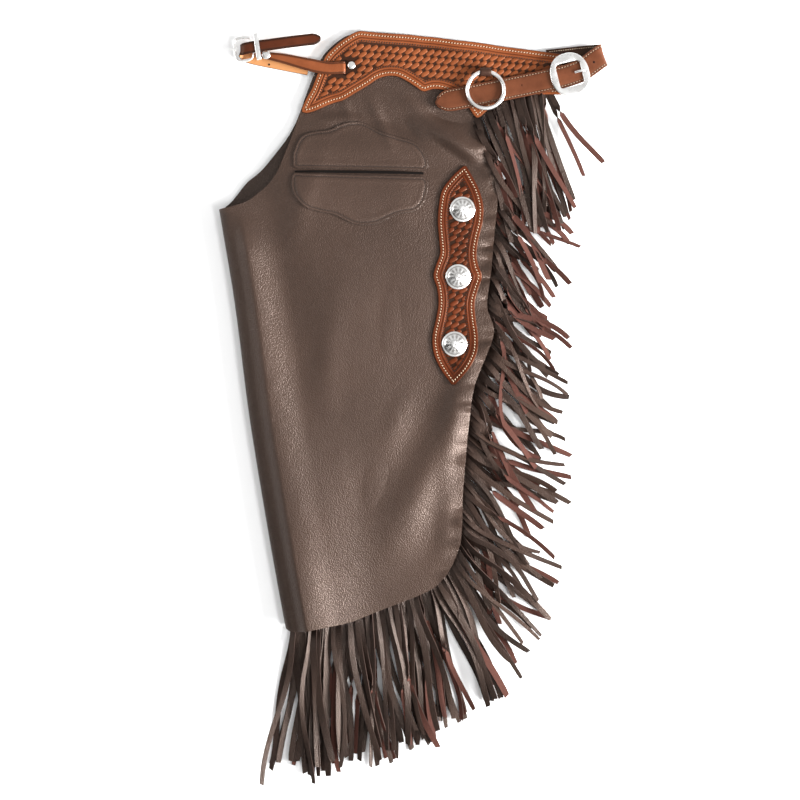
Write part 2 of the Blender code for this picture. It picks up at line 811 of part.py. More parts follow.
def make_fringe(name, path, lanes, root_z, depth, pitch, seed=0.0, shorten=1.0, spread=1.0,
                climb=0.25, knee=0.58):
    """Strands cut from one narrow strip, each moving from its root to a lane of its own height."""
    reached = [0.0]
    for a, b in zip(path, path[1:]):
        reached.append(reached[-1] + (b[0] - a[0]).length)
    count = int(reached[-1] // pitch)

    def at(distance):
        k = 0
        while k < len(path) - 2 and reached[k + 1] < distance:
            k += 1
        t = (distance - reached[k]) / max(reached[k + 1] - reached[k], 1e-6)
        where = path[k][0].lerp(path[k + 1][0], t)
        ahead = path[min(k + 5, len(path) - 1)][0]
        behind = path[max(k - 4, 0)][0]
        return where, (ahead - behind).normalized(), path[k][1], path[k][2]

    points = []
    for n in range(count):
        for distance in (n * pitch + ROOT_GAP / 2.0, (n + 1) * pitch - ROOT_GAP / 2.0):
            where, along, _, _ = at(distance)
            z = root_z(where.x, where.y)
            for point in (where + Vector((along.y, -along.x)) * depth, where):
                points.append((point.x, point.y, z))
                points.append((point.x, point.y, z + STRIP))
    faces = [(0, 1, 3, 2)]
    for k in range(2 * count - 1):
        a = 4 * k
        b = a + 4
        faces.append((a, b, b + 1, a + 1))
        faces.append((a + 1, b + 1, b + 3, a + 3))
        faces.append((a, a + 2, b + 2, b))
        if k % 2:
            faces.append((a + 2, a + 3, b + 3, b + 2))
    end = 4 * (2 * count - 1)
    faces.append((end, end + 2, end + 3, end + 1))
    for n in range(count):
        loop = [8 * n + 2, 8 * n + 6, 8 * n + 7, 8 * n + 3]
        spot, along, heading, reach = at((n + 0.5) * pitch)
        lane = n % len(lanes)
        start_z = root_z(spot.x, spot.y) + STRIP / 2.0
        drift = spread * (LANE_TURN[lane] + 0.6 * wobble(n + seed))
        reach *= shorten * (1.0 + 0.06 * wobble(n * 3 + seed + 7.0))
        bend = spread * (LANE_BEND[lane] + 0.4 * wobble(n * 5 + seed + 2.0))
        across_root = abs(math.sin(math.radians(heading) - math.atan2(along.y, along.x)))
        root_width = (pitch - ROOT_GAP) * across_root - 0.8
        full_width = min(STRAND_WIDTH, 1.3 * pitch)
        travelled = 0.0
        bends = [(14.0, root_width, climb, 0.0), (28.0, root_width, 1.0, 0.1)]
        if knee:
            bends.append((knee * reach, full_width, 1.0, 0.8))
        bends.append((reach, 0.8 * full_width, 1.0, 1.0))
        for distance, width, level, turned in bends:
            swing = drift + bend * math.sin(4.5 * distance / reach)
            turn = math.radians(heading + turned * swing)
            step = Vector((math.cos(turn), math.sin(turn)))
            spot = spot + step * (distance - travelled)
            travelled = distance
            side = Vector((-step.y, step.x)) * (width / 2.0)
            z = start_z + (lanes[lane] - start_z) * level
            first = len(points)
            for across, up in ((1, -1), (-1, -1), (-1, 1), (1, 1)):
                corner = spot + side * across
                points.append((corner.x, corner.y, z + up * STRAND_THICK / 2.0))
            ring = [first, first + 1, first + 2, first + 3]
            for k in range(4):
                m = (k + 1) % 4
                faces.append((loop[k], loop[m], ring[m], ring[k]))
            loop = ring
        faces.append(tuple(loop))
    return make(name, points, faces, FRINGE_BROWN)


def make_fringes():
    def seam_point(y):
        return (seam_x(y), y)

    def under_seam_point(y):
        return (read(UNDER_SEAM, y), y)

    def hem_point(x):
        return (x, hem_y(x))

    def top_z(x, y):
        return under_top(x, y) + SEAT

    def floor_z(x, y):
        return 0.4

    def hip_z(x, y):
        return YOKE_LIFT + UNDER_HIP + SEAT

    side = along_edge(*dense(SIDE_FRINGE, seam_point), 1.0)
    hem = along_edge(*dense(HEM_FRINGE, hem_point), 1.0)
    make_fringe("fringe_side", side, LANES_TOP, top_z, 9.5, STRAND_PITCH, spread=0.75)
    make_fringe("fringe_hem", hem, LANES_TOP, top_z, 9.5, HEM_PITCH, seed=200.0)
    side = along_edge(*dense(SIDE_FRINGE[1:], under_seam_point), 1.5)
    hem = along_edge(*dense(HEM_FRINGE, hem_point), 1.5)
    depth = UNDER_SET - 1.5 - SEAT
    make_fringe("fringe_side_under", side, LANES_UNDER, floor_z, depth, STRAND_PITCH,
                seed=400.0, shorten=0.94, knee=0.0)
    make_fringe("fringe_hem_under", hem, LANES_UNDER, floor_z, depth, HEM_PITCH,
                seed=600.0, shorten=0.95, knee=0.0)
    roots = [row[:2] for row in HIP_FRINGE]
    path = along_edge(roots, [row[2] for row in HIP_FRINGE], [row[3] for row in HIP_FRINGE], 0.0)
    make_fringe("fringe_hip", path, LANES_HIP, hip_z, 7.0, HIP_PITCH,
                seed=800.0, spread=1.0, climb=0.0)


def make_ring():
    """Round wire ring that swings about the wire held in its loop."""
    points = []
    around = 28
    section = 8
    for i in range(around):
        a = 2.0 * math.pi * i / around
        for k in range(section):
            b = 2.0 * math.pi * k / section
            r = RING_RADIUS + RING_WIRE * math.cos(b)
            x = RING_CENTRE[0] + r * math.cos(a)
            y = RING_CENTRE[1] + r * math.sin(a)
            points.append((x, y, RING_Z + RING_WIRE * math.sin(b)))
    faces = []
    for i in range(around):
        for k in range(section):
            m = (i + 1) % around
            n = (k + 1) % section
            faces.append((i * section + k, m * section + k, m * section + n, i * section + n))
    ring = make("ring", points, faces, SILVER, 0.2, 1.0)
    pivot = Vector((RING_CENTRE[0], RING_CENTRE[1] + RING_RADIUS, RING_Z)) * MM
    ring.data.transform(Matrix.Translation(-pivot))
    ring.location = pivot
    return ring


def make_ring_loop():
    """An arch of leather over the ring's wire, standing on the yoke."""
    x0 = RING_CENTRE[0]
    y0 = RING_CENTRE[1] + RING_RADIUS
    foot = on_leg(x0, y0) + TOOLED + SEAT
    inner_r = RING_WIRE + LOOP_CLEAR
    columns = []
    for radius in (inner_r + LOOP_WALL, inner_r):
        arch = [(y0 - radius, foot)]
        for k in range(9):
            a = math.pi * (1.0 - k / 8.0)
            arch.append((y0 + radius * math.cos(a), RING_Z + radius * math.sin(a)))
        arch.append((y0 + radius, foot))
        columns.append(arch)
    outer = []
    inner = []
    for x in (x0 - LOOP_WIDTH / 2.0, x0 + LOOP_WIDTH / 2.0):
        outer.append([(x, y, z) for y, z in columns[0]])
        inner.append([(x, y, z) for y, z in columns[1]])
    return shell("ring_loop", outer, inner, BILLET_BROWN)


def placed(points, centre, turn):
    """Turn plan points about the origin and move them to centre."""
    c = math.cos(math.radians(turn))
    s = math.sin(math.radians(turn))
    return [(centre[0] + x * c - y * s, centre[1] + x * s + y * c, z) for x, y, z in points]


def frame_piece(name, outline, window, low, high, centre, turn):
    """A flat metal frame between an outline and a window with as many points."""
    count = len(outline)
    points = []
    for loop in (outline, window):
        for z in (high, low):
            points += [(x, y, z) for x, y in loop]
    faces = []
    for k in range(count):
        m = (k + 1) % count
        faces.append((k, m, 2 * count + m, 2 * count + k))
        faces.append((count + m, count + k, 3 * count + k, 3 * count + m))
        faces.append((m, k, count + k, count + m))
        faces.append((2 * count + k, 2 * count + m, 3 * count + m, 3 * count + k))
    return make(name, placed(points, centre, turn), faces, SILVER, 0.2, 1.0)


def box_piece(name, low, high, centre, turn, colour, metallic=0.0):
    xs = (low[0], high[0])
    ys = (low[1], high[1])
    zs = (low[2], high[2])
    points = [(x, y, z) for x in xs for y in ys for z in zs]
    faces = [(0, 1, 3, 2), (4, 6, 7, 5), (0, 4, 5, 1), (2, 3, 7, 6), (0, 2, 6, 4), (1, 5, 7, 3)]
    roughness = 0.25 if metallic else 0.6
    return make(name, placed(points, centre, turn), faces, colour, roughness, metallic)


def fuse(target, tools):
    """Join metal pieces that overlap into one body."""
    for tool in tools:
        modifier = target.modifiers.new("fuse", "BOOLEAN")
        modifier.operation = "UNION"
        modifier.solver = "EXACT"
        modifier.object = tool
        tool.hide_render = True
        tool.display_type = "WIRE"


BUCKLE_CENTRE = (219.0, 470.5)
BUCKLE_TURN = 14.0
BUCKLE_LOW = 18.8
BUCKLE_HIGH = 21.4
WINDOW_HALF = (18.5, 17.2)
BUCKLE_HALF = (27.5, 30.5)
HEEL_LOW = 11.9
HEEL_HIGH = 14.9


def rounded_frame(half, count, power):
    """Outline of a frame: power 2 is an ellipse, more makes it squarer."""
    loop = []
    for k in range(count):
        a = 2.0 * math.pi * (k + 0.5) / count
        c = math.cos(a)
        s = math.sin(a)
        x = half[0] * math.copysign(abs(c) ** (2.0 / power), c)
        y = half[1] * math.copysign(abs(s) ** (2.0 / power), s)
        loop.append((x, y))
    return loop


def make_belt_buckle():
    """Wide frame over the strap, with a heel bar below it that the short strap holds."""
    outline = rounded_frame(BUCKLE_HALF, 32, 2.2)
    window = rounded_frame(WINDOW_HALF, 32, 9.0)
    frame = frame_piece("belt_buckle", outline, window, BUCKLE_LOW, BUCKLE_HIGH, BUCKLE_CENTRE, BUCKLE_TURN)
    bar_x = -WINDOW_HALF[0] - 1.0
    side = BELT_WIDTH / 2.0 + 3.4
    tools = []
    for n, y in enumerate((-side, side)):
        low = (bar_x - 2.0, y - 1.4, HEEL_LOW)
        high = (bar_x + 2.0, y + 1.4, BUCKLE_HIGH - 0.6)
        tools.append(box_piece("heel_post_%d" % n, low, high, BUCKLE_CENTRE, BUCKLE_TURN, SILVER, 1.0))
    low = (bar_x - 1.5, -side, HEEL_LOW + 0.2)
    high = (bar_x + 1.5, side, HEEL_HIGH - 0.2)
    tools.append(box_piece("heel_bar", low, high, BUCKLE_CENTRE, BUCKLE_TURN, SILVER, 1.0))
    fuse(frame, tools)


def make_belt_tongue():
    """Its tip comes up through the strap and rests on the frame's far side."""
    table = (
        (226.0, 473.4, 20.2, 104.0, 3.2),
        (230.0, 474.3, 21.4, 104.0, 3.2),
        (233.0, 475.0, 22.9, 104.0, 3.0),
        (240.5, 476.8, 22.9, 104.0, 2.2),
    )
    strap = make_strap("belt_tongue", table, 2.0, SILVER)
    strap.data.materials[0].node_tree.nodes["Principled BSDF"].inputs["Metallic"].default_value = 1.0


def make_belt_chape():
    """Short strap from under the end of the yoke to the heel bar."""
    table = (
        (188.0, 462.5, 6.6, 104.0, 18.0),
        (200.0, 464.5, 6.6, 104.0, 18.0),
        (213.0, 466.2, 6.8, 104.0, 16.0),
    )
    make_strap("belt_chape", table, 2.4, BELT_TAN)


FRONT_BUCKLE_CENTRE = (-238.5, 507.5)
FRONT_BUCKLE_TURN = 8.0


def make_front_buckle():
    outline = rounded_frame((14.2, 18.0), 24, 3.2)
    window = rounded_frame((10.8, 14.2), 24, 6.0)
    frame_piece("front_buckle", outline, window, 8.6, 11.6, FRONT_BUCKLE_CENTRE, FRONT_BUCKLE_TURN)


def make_front_tongue():
    table = (
        (-247.0, 508.0, 13.0, 90.0, 3.0),
        (-253.0, 507.2, 13.0, 90.0, 2.8),
        (-259.0, 506.6, 12.8, 90.0, 1.8),
    )
    strap = make_strap("front_tongue", table, 2.0, SILVER)
    strap.data.materials[0].node_tree.nodes["Principled BSDF"].inputs["Metallic"].default_value = 1.0


def make_front_keeper():
    """A narrow loop round the billet and the strap under it."""
    rows = ((-19.0, 8.3), (19.0, 8.3), (19.0, 18.9), (-19.0, 18.9))
    inner = ((-17.5, 9.1), (17.5, 9.1), (17.5, 18.1), (-17.5, 18.1))
    points = []
    for x in (-2.0, 2.0):
        points += [(x, y, z) for y, z in rows]
        points += [(x, y, z) for y, z in inner]
    faces = []
    for k in range(4):
        m = (k + 1) % 4
        faces.append((k, m, 4 + m, 4 + k))
        faces.append((8 + m, 8 + k, 12 + k, 12 + m))
        faces.append((k, m, 8 + m, 8 + k))
        faces.append((4 + m, 4 + k, 12 + k, 12 + m))
    turned = placed(points, (-219.0, 510.5), 8.0)
    make("front_keeper", turned, faces, SILVER, 0.25, 1.0)


def make_rivets():
    def strap_face(x, y):
        return 12.7

    def yoke_face(x, y):
        return on_leg(x, y) + TOOLED + SEAT

    make_dome("rivet_strap", (-207.0, 499.0), 6.0, 2.2, strap_face, RIVET_RINGS, 14)
    make_dome("rivet_yoke", (-87.0, 484.5), 5.4, 2.2, yoke_face, RIVET_RINGS, 14)


for old in list(bpy.data.objects):
    bpy.data.objects.remove(old, do_unlink=True)

make_leg_under()
make_leg_top()
make_yoke_under()
make_yoke_top()
make_pockets()
make_concho_plate()
make_conchos()
make_fringes()
make_strap("belt_strap", BELT, BELT_THICK, BELT_TAN)
make_belt_buckle()
make_belt_tongue()
make_belt_chape()
make_ring()
make_ring_loop()
make_strap("front_strap", FRONT_STRAP, FRONT_STRAP_THICK, RUSSET)
make_strap("front_billet", BILLET, BILLET_THICK, BILLET_BROWN)
make_front_buckle()
make_front_tongue()
make_front_keeper()
make_rivets()
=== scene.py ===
import math

import bmesh
import bpy
import numpy as np
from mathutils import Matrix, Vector


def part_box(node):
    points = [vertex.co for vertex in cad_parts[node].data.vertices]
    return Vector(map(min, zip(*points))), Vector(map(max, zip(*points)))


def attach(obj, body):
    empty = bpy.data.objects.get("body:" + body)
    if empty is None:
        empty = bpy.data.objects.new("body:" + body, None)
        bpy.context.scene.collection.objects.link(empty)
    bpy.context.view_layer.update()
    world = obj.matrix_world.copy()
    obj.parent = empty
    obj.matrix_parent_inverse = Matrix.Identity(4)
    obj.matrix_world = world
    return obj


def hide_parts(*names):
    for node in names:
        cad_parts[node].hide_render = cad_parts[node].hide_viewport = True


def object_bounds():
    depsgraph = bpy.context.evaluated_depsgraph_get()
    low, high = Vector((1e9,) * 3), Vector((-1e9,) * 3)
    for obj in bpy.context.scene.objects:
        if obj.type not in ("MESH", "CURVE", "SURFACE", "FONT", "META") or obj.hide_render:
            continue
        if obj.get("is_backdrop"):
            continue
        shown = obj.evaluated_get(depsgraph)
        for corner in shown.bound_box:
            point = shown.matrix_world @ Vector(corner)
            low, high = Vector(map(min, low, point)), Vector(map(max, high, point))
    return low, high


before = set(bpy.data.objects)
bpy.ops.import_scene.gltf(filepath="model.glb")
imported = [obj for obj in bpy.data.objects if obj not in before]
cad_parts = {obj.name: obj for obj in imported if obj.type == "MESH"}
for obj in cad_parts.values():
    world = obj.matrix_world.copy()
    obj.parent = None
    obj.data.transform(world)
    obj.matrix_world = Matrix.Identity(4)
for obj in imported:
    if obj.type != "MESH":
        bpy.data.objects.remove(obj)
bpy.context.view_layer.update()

MM = 0.001

# Camera, light and floor
# The chaps lie on a pale table and are looked at from straight above.
# One long lens, a wide soft light on each side and a third high on the right.
# A dark curtain on the left gives the metal something to mirror.
camera = bpy.data.objects.new("camera", bpy.data.cameras.new("camera"))
bpy.context.scene.collection.objects.link(camera)
camera.data.lens = 100.0
camera.data.sensor_width = 36.0
camera.location = (-0.0189, 0.0147, 3.131)
bpy.context.scene.camera = camera

floor_mesh = bpy.data.meshes.new("floor")
floor_mesh.from_pydata([(-9, -9, -0.0003), (9, -9, -0.0003), (9, 9, -0.0003), (-9, 9, -0.0003)], [], [(0, 1, 2, 3)])
floor = bpy.data.objects.new("floor", floor_mesh)
bpy.context.scene.collection.objects.link(floor)
floor_finish = bpy.data.materials.new("pale table")
floor_finish.use_nodes = True
floor_shader = floor_finish.node_tree.nodes["Principled BSDF"]
floor_shader.inputs["Base Color"].default_value = (0.93, 0.93, 0.93, 1.0)
floor_shader.inputs["Roughness"].default_value = 0.9
floor_mesh.materials.append(floor_finish)
floor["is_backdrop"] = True

LIGHTS = (
    # name, place, aim, size, watts
    ("left window", (-2.2, 0.6, 1.3), (0.0, 0.0, 0.0), 1.4, 26.0),
    ("right window", (2.3, -0.3, 0.90), (0.0, -0.1, 0.0), 1.2, 330.0),
    ("high window", (1.35, -0.6, 2.6), (-0.1, -0.1, 0.0), 0.9, 32.0),
)
for name, place, aim, size, watts in LIGHTS:
    lamp = bpy.data.lights.new(name, "AREA")
    lamp.shape = "DISK"
    lamp.size = size
    lamp.energy = watts
    light = bpy.data.objects.new(name, lamp)
    light.location = place
    light.rotation_mode = "QUATERNION"
    light.rotation_quaternion = (Vector(aim) - Vector(place)).to_track_quat("-Z", "Y")
    bpy.context.scene.collection.objects.link(light)
world = bpy.data.worlds.new("studio")
world.use_nodes = True
room = world.node_tree
room.nodes["Background"].inputs["Strength"].default_value = 0.70
towards = room.nodes.new("ShaderNodeVectorMath")
towards.operation = "DOT_PRODUCT"
towards.inputs[1].default_value = (-0.78, -0.16, 0.60)
room.links.new(room.nodes.new("ShaderNodeTexCoord").outputs["Generated"], towards.inputs[0])
curtain = room.nodes.new("ShaderNodeMapRange")
curtain.inputs["From Min"].default_value = 0.80
curtain.inputs["From Max"].default_value = 0.94
curtain.inputs["To Min"].default_value = 1.0
curtain.inputs["To Max"].default_value = 0.06
room.links.new(towards.outputs["Value"], curtain.inputs["Value"])
room.links.new(curtain.outputs[0], room.nodes["Background"].inputs["Color"])
bpy.context.scene.world = world
bpy.context.scene.view_settings.view_transform = "Standard"


# Right leg
# The right leg is folded away under the left one, face down, so only its
# edges and its underside show. It is the same chocolate chap hide, in two
# layers that part a little at the rim.
HIDE = 2.0
TOOLED = 3.0
SEAT = 0.3
LAY = 0.9
DRAPE = 0.8
SINK = 1.0
UNDER_EDGE = 5.0
UNDER_CROWN = 13.0
UNDER_RUN = 125.0
UNDER_HIP = 2.2
YOKE_LIFT = TOOLED + SEAT
LIFT_START = 335.0
LIFT_RUN = 30.0
HIP_START = 285.0
HIP_RUN = 135.0
STRIP_TOP = 364.0
BACK_SET = 14.0
STRIP_SET = 12.0
UNDER_SET = 9.0
FOLD = (
    # y, x
    (-312.0, -178.0), (-251.0, -189.5), (-125.0, -211.5), (0.0, -231.5), (148.0, -250.5),
    (278.0, -272.0), (536.0, -315.0),
)
SEAM = (
    # y, x
    (-229.0, 48.0), (-212.0, 57.0), (-183.0, 66.5), (-110.0, 70.0), (-13.0, 78.5), (34.0, 85.5),
    (79.0, 103.0), (112.0, 113.0), (145.0, 103.5), (191.0, 108.5), (248.0, 113.5), (302.0, 117.5),
    (348.0, 107.0), (379.0, 97.5), (409.0, 90.5), (440.0, 96.0), (480.0, 104.0), (518.0, 110.0),
)
UNDER_SEAM = (
    # y, x
    (-229.0, 48.0), (-212.0, 56.0), (-183.0, 63.5), (-110.0, 69.5), (-13.0, 77.5), (34.0, 84.0),
    (100.0, 94.0), (191.0, 106.0), (302.0, 113.0), (348.0, 106.0), (379.0, 97.0), (409.0, 90.5),
    (440.0, 94.0), (518.0, 104.0),
)
HEM = (
    # x, y
    (-190.0, -310.0), (-162.0, -310.0), (-125.0, -303.5), (-90.0, -297.0), (-47.0, -281.0),
    (-13.0, -268.0), (14.0, -257.0), (33.0, -246.0), (48.0, -229.0),
)
UNDER_TOP = (
    # x, y
    (-272.0, 280.0), (-256.0, 293.0), (-243.5, 308.5), (-233.0, 321.0), (-215.0, 335.5),
    (-197.0, 356.5), (-177.0, 383.0), (-165.0, 405.0), (-158.0, 422.0), (-148.0, 440.0),
    (-133.0, 476.5), (-112.0, 509.0), (-90.0, 523.0), (-47.0, 525.0), (50.0, 516.0), (112.0, 508.0),
)


def smooth(t):
    """Soft step from 0 to 1."""
    t = np.clip(t, 0.0, 1.0)
    return t * t * (3.0 - 2.0 * t)


def read(table, at, column=1):
    """Read a column of a table at values of its first column, along a smooth curve."""
    rows = np.array(table if table[0][0] < table[-1][0] else table[::-1], float)
    key = rows[:, 0]
    value = rows[:, column]
    before = np.r_[0, np.arange(len(rows) - 1)]
    after = np.r_[np.arange(1, len(rows)), len(rows) - 1]
    slope = (value[after] - value[before]) / (key[after] - key[before])
    at = np.clip(at, key[0], key[-1])
    k = np.clip(np.searchsorted(key, at) - 1, 0, len(rows) - 2)
    span = key[k + 1] - key[k]
    t = (at - key[k]) / span
    bend = slope[k] * t * (1.0 - t) ** 2 - slope[k + 1] * t * t * (1.0 - t)
    return value[k] + (value[k + 1] - value[k]) * t * t * (3.0 - 2.0 * t) + span * bend


def seam_in(table, y, inset):
    slope = (read(table, y + 4.0) - read(table, y - 4.0)) / 8.0
    return read(table, y) - inset * np.hypot(1.0, slope)


def hem_in(x, inset):
    slope = (read(HEM, x + 4.0) - read(HEM, x - 4.0)) / 8.0
    return read(HEM, x) + inset * np.hypot(1.0, slope)


def hip(y):
    return smooth((y - HIP_START) / HIP_RUN)


def under_base(y):
    return YOKE_LIFT * smooth((y - LIFT_START) / LIFT_RUN)


def under_top(x, y):
    """Upper face of the folded right leg."""
    from_fold = smooth((x - read(FOLD, y) - 2.0) / UNDER_RUN)
    from_seam = smooth((read(UNDER_SEAM, y) - x - BACK_SET) / UNDER_RUN)
    from_hem = smooth((y - read(HEM, x) - BACK_SET) / UNDER_RUN)
    leg = UNDER_EDGE + UNDER_CROWN * from_fold * from_seam * from_hem
    return leg + (under_base(y) + UNDER_HIP - leg) * hip(y)


def meet(x_at, edge, low, high):
    """Height where a column of the leg meets an edge whose height is given by x."""
    for _ in range(40):
        middle = 0.5 * (low + high)
        if middle < edge(x_at(middle)):
            low = middle
        else:
            high = middle
    return 0.5 * (low + high)


def node(tree, kind, settings=None, **inputs):
    """Add a shader node, with values or sockets for its inputs (i3 is its fourth one)."""
    made = tree.nodes.new("ShaderNode" + kind)
    for key, value in (settings or {}).items():
        setattr(made, key, value)
    for key, value in inputs.items():
        named = key.replace("_", " ")
        socket = made.inputs[named] if named in made.inputs else made.inputs[int(key[1:])]
        if isinstance(value, bpy.types.NodeSocket):
            tree.links.new(value, socket)
        else:
            socket.default_value = value
    return made


def mixed(tree, factor, first, second):
    """Mix two colours, each a socket or red, green and blue."""
    pair = [c if isinstance(c, bpy.types.NodeSocket) else (*c, 1.0) for c in (first, second)]
    return node(tree, "Mix", {"data_type": "RGBA"}, i0=factor, i6=pair[0], i7=pair[1]).outputs[2]


def mark(tree, name):
    """A number that the mesh carries at each of its points."""
    return node(tree, "Attribute", {"attribute_name": name}).outputs["Fac"]


def times(colour, factor):
    return tuple(factor * c for c in colour)


def maths(tree, how, first, second=0.0):
    return node(tree, "Math", {"operation": how}, i0=first, i1=second).outputs[0]


def ranged(tree, value, low, high, to_low=0.0, to_high=1.0):
    """Map a value from one range to another, clamped and eased."""
    made = node(tree, "MapRange", {"interpolation_type": "SMOOTHSTEP"}, Value=value)
    for socket, amount in zip(list(made.inputs)[1:5], (low, high, to_low, to_high)):
        socket.default_value = amount
    return made.outputs[0]


def group(name, inputs, outputs):
    """Start a shader node group and hand back its tree, its inputs and its output node."""
    tree = bpy.data.node_groups.new(name, "ShaderNodeTree")
    for label, kind, value in inputs:
        socket = tree.interface.new_socket(label, in_out="INPUT", socket_type=kind)
        socket.default_value = value
    for label, kind in outputs:
        tree.interface.new_socket(label, in_out="OUTPUT", socket_type=kind)
    return tree, tree.nodes.new("NodeGroupInput"), tree.nodes.new("NodeGroupOutput")


def use(tree, grouped, **inputs):
    """Place a node group in a material."""
    made = tree.nodes.new("ShaderNodeGroup")
    made.node_tree = grouped
    for key, value in inputs.items():
        socket = made.inputs[key.replace("_", " ")]
        if isinstance(value, bpy.types.NodeSocket):
            tree.links.new(value, socket)
        else:
            socket.default_value = value
    return made


# Pebble grain: rounded cells of one to two millimetres, with finer wrinkles between them.
pebble_grain, asked, given = group(
    "pebble grain",
    (("Place", "NodeSocketVector", (0.0, 0.0, 0.0)), ("Cells", "NodeSocketFloat", 620.0)),
    (("Height", "NodeSocketFloat"), ("Cloud", "NodeSocketFloat")),
)
place = asked.outputs["Place"]
drift = node(pebble_grain, "TexNoise", Vector=place, Scale=55.0, Detail=2.0)
shifted = node(pebble_grain, "VectorMath", {"operation": "MULTIPLY_ADD"},
               i0=drift.outputs["Color"], i1=(0.004, 0.004, 0.004), i2=place)
cells = node(pebble_grain, "TexVoronoi", {"feature": "SMOOTH_F1"},
             Vector=shifted.outputs[0], Scale=asked.outputs["Cells"], Smoothness=0.35)
fine = node(pebble_grain, "TexNoise", Vector=place, Scale=1700.0, Detail=2.0)
cloud = node(pebble_grain, "TexNoise", Vector=place, Scale=9.0, Detail=4.0, Roughness=0.6)
round_cells = ranged(pebble_grain, cells.outputs["Distance"], 0.75, 0.15)
height = maths(pebble_grain, "ADD", round_cells, maths(pebble_grain, "MULTIPLY", fine.outputs[0], 0.3))
pebble_grain.links.new(height, given.inputs["Height"])
pebble_grain.links.new(cloud.outputs[0], given.inputs["Cloud"])


def finish(name, roughness, specular=0.5, metallic=0.0, sheen=(1.0, 1.0, 1.0, 1.0)):
    """An empty finish: its tree, its shader and the object's own coordinates. Wax and oil warm the shine."""
    made = bpy.data.materials.new(name)
    made.use_nodes = True
    tree = made.node_tree
    shader = tree.nodes["Principled BSDF"]
    shader.inputs["Roughness"].default_value = roughness
    shader.inputs["Specular IOR Level"].default_value = specular
    shader.inputs["Metallic"].default_value = metallic
    shader.inputs["Specular Tint"].default_value = sheen
    place = tree.nodes.new("ShaderNodeTexCoord").outputs["Object"]
    return made, tree, shader, place


def bumped(tree, shader, height, depth, strength=1.0):
    made = node(tree, "Bump", Height=height, Strength=strength, Distance=depth)
    tree.links.new(made.outputs[0], shader.inputs["Normal"])


HIDE_CELLS = 560.0


def grained_hide(name, dark, light, cells, depth, rough, specular=0.5):
    """Chap leather: pebbled, a little cloudy, paler on the crowns of the grain."""
    made, tree, shader, place = finish(name, 0.5, specular, sheen=(1.0, 0.80, 0.70, 1.0))
    grain = use(tree, pebble_grain, Place=place, Cells=cells)
    colour = mixed(tree, ranged(tree, grain.outputs["Cloud"], 0.3, 0.7), dark, light)
    crowns = ranged(tree, grain.outputs["Height"], 0.2, 1.1)
    colour = mixed(tree, maths(tree, "MULTIPLY", crowns, 0.35), colour, times(light, 1.35))
    # The tone mark darkens the leather: a random amount on the strands, and painted shade where pieces set it at
    # folds, edges, roots and the leg underneath.
    tone = mark(tree, "tone")
    colour = mixed(tree, tone, colour, times(dark, 0.42))
    tree.links.new(colour, shader.inputs["Base Color"])
    tree.links.new(ranged(tree, grain.outputs["Height"], 0.0, 1.2, rough + 0.12, rough - 0.05),
                   shader.inputs["Roughness"])
    bumped(tree, shader, grain.outputs["Height"], depth, 0.8)
    return made


def two_toned(name, roughness, specular, texture, scale, dark, light, depth=0.0, **settings):
    """A plain finish whose colour moves between two shades with one texture, which may also raise it."""
    made, tree, shader, place = finish(name, roughness, specular)
    shades = node(tree, texture, Vector=place, Scale=scale, **settings).outputs[texture == "TexWave"]
    tree.links.new(mixed(tree, shades, dark, light), shader.inputs["Base Color"])
    if depth:
        bumped(tree, shader, shades, depth)
    return made


hide = grained_hide("chocolate hide", (0.0222, 0.0122, 0.0084), (0.0306, 0.0172, 0.0121), HIDE_CELLS, 0.00034, 0.35)
# The hide's flesh side is napped and redder.
flesh = two_toned("flesh side", 0.85, 0.2, "TexNoise", 420.0, (0.026, 0.0090, 0.0060), (0.085, 0.0290, 0.0200),
                  0.0005, Detail=4.0, Roughness=0.7)


def piece(name, points, faces, finishes, slot, nodes=(), body="chaps", marks=None, which=None, sharp=40.0):
    """Write a piece, given in millimetres, and fix it to its body."""
    mesh = bpy.data.meshes.new(name)
    mesh.from_pydata((np.asarray(points, float) * MM).tolist(), [], [tuple(f) for f in faces])
    for one in finishes:
        mesh.materials.append(one)
    if which is not None:
        mesh.polygons.foreach_set("material_index", np.asarray(which, np.int32))
    for key, values in (marks or {}).items():
        layer = mesh.attributes.new(key, "FLOAT", "POINT")
        layer.data.foreach_set("value", np.asarray(values, np.float32))
    bm = bmesh.new()
    bm.from_mesh(mesh)
    bmesh.ops.recalc_face_normals(bm, faces=bm.faces)
    bm.to_mesh(mesh)
    bm.free()
    mesh.shade_smooth()
    mesh.set_sharp_from_angle(angle=math.radians(sharp))
    made = bpy.data.objects.new(name, mesh)
    bpy.context.scene.collection.objects.link(made)
    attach(made, body)
    if nodes:
        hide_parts(*nodes)
    return made


def grid_faces(columns, rows, start=0):
    """Quads of a grid of points given column by column."""
    faces = []
    for i in range(columns - 1):
        a = start + i * rows
        b = a + rows
        faces += [(a + j, b + j, b + j + 1, a + j + 1) for j in range(rows - 1)]
    return faces


def rim_order(columns, rows):
    """The border points of a grid, in order."""
    rim = [i * rows for i in range(columns)]
    rim += [(columns - 1) * rows + j for j in range(1, rows)]
    rim += [i * rows + rows - 1 for i in range(columns - 2, -1, -1)]
    return rim + list(range(rows - 2, 0, -1))


def under_grid(columns, rows, spare):
    """Plan of the right leg, spare millimetres inside its edge."""
    plan = []
    for i in range(columns):
        share = i / (columns - 1.0)

        def x_at(y, share=share):
            left = read(FOLD, y) + 2.0 + spare
            return left + (seam_in(UNDER_SEAM, y, UNDER_SET + spare) - left) * share

        low = meet(x_at, lambda x: hem_in(x, UNDER_SET + spare), -320.0, -180.0)
        high = meet(x_at, lambda x: read(UNDER_TOP, x) - spare, 270.0, 540.0)
        y = np.linspace(low, high, rows)
        plan.append(np.stack([x_at(y), y], 1))
    return plan


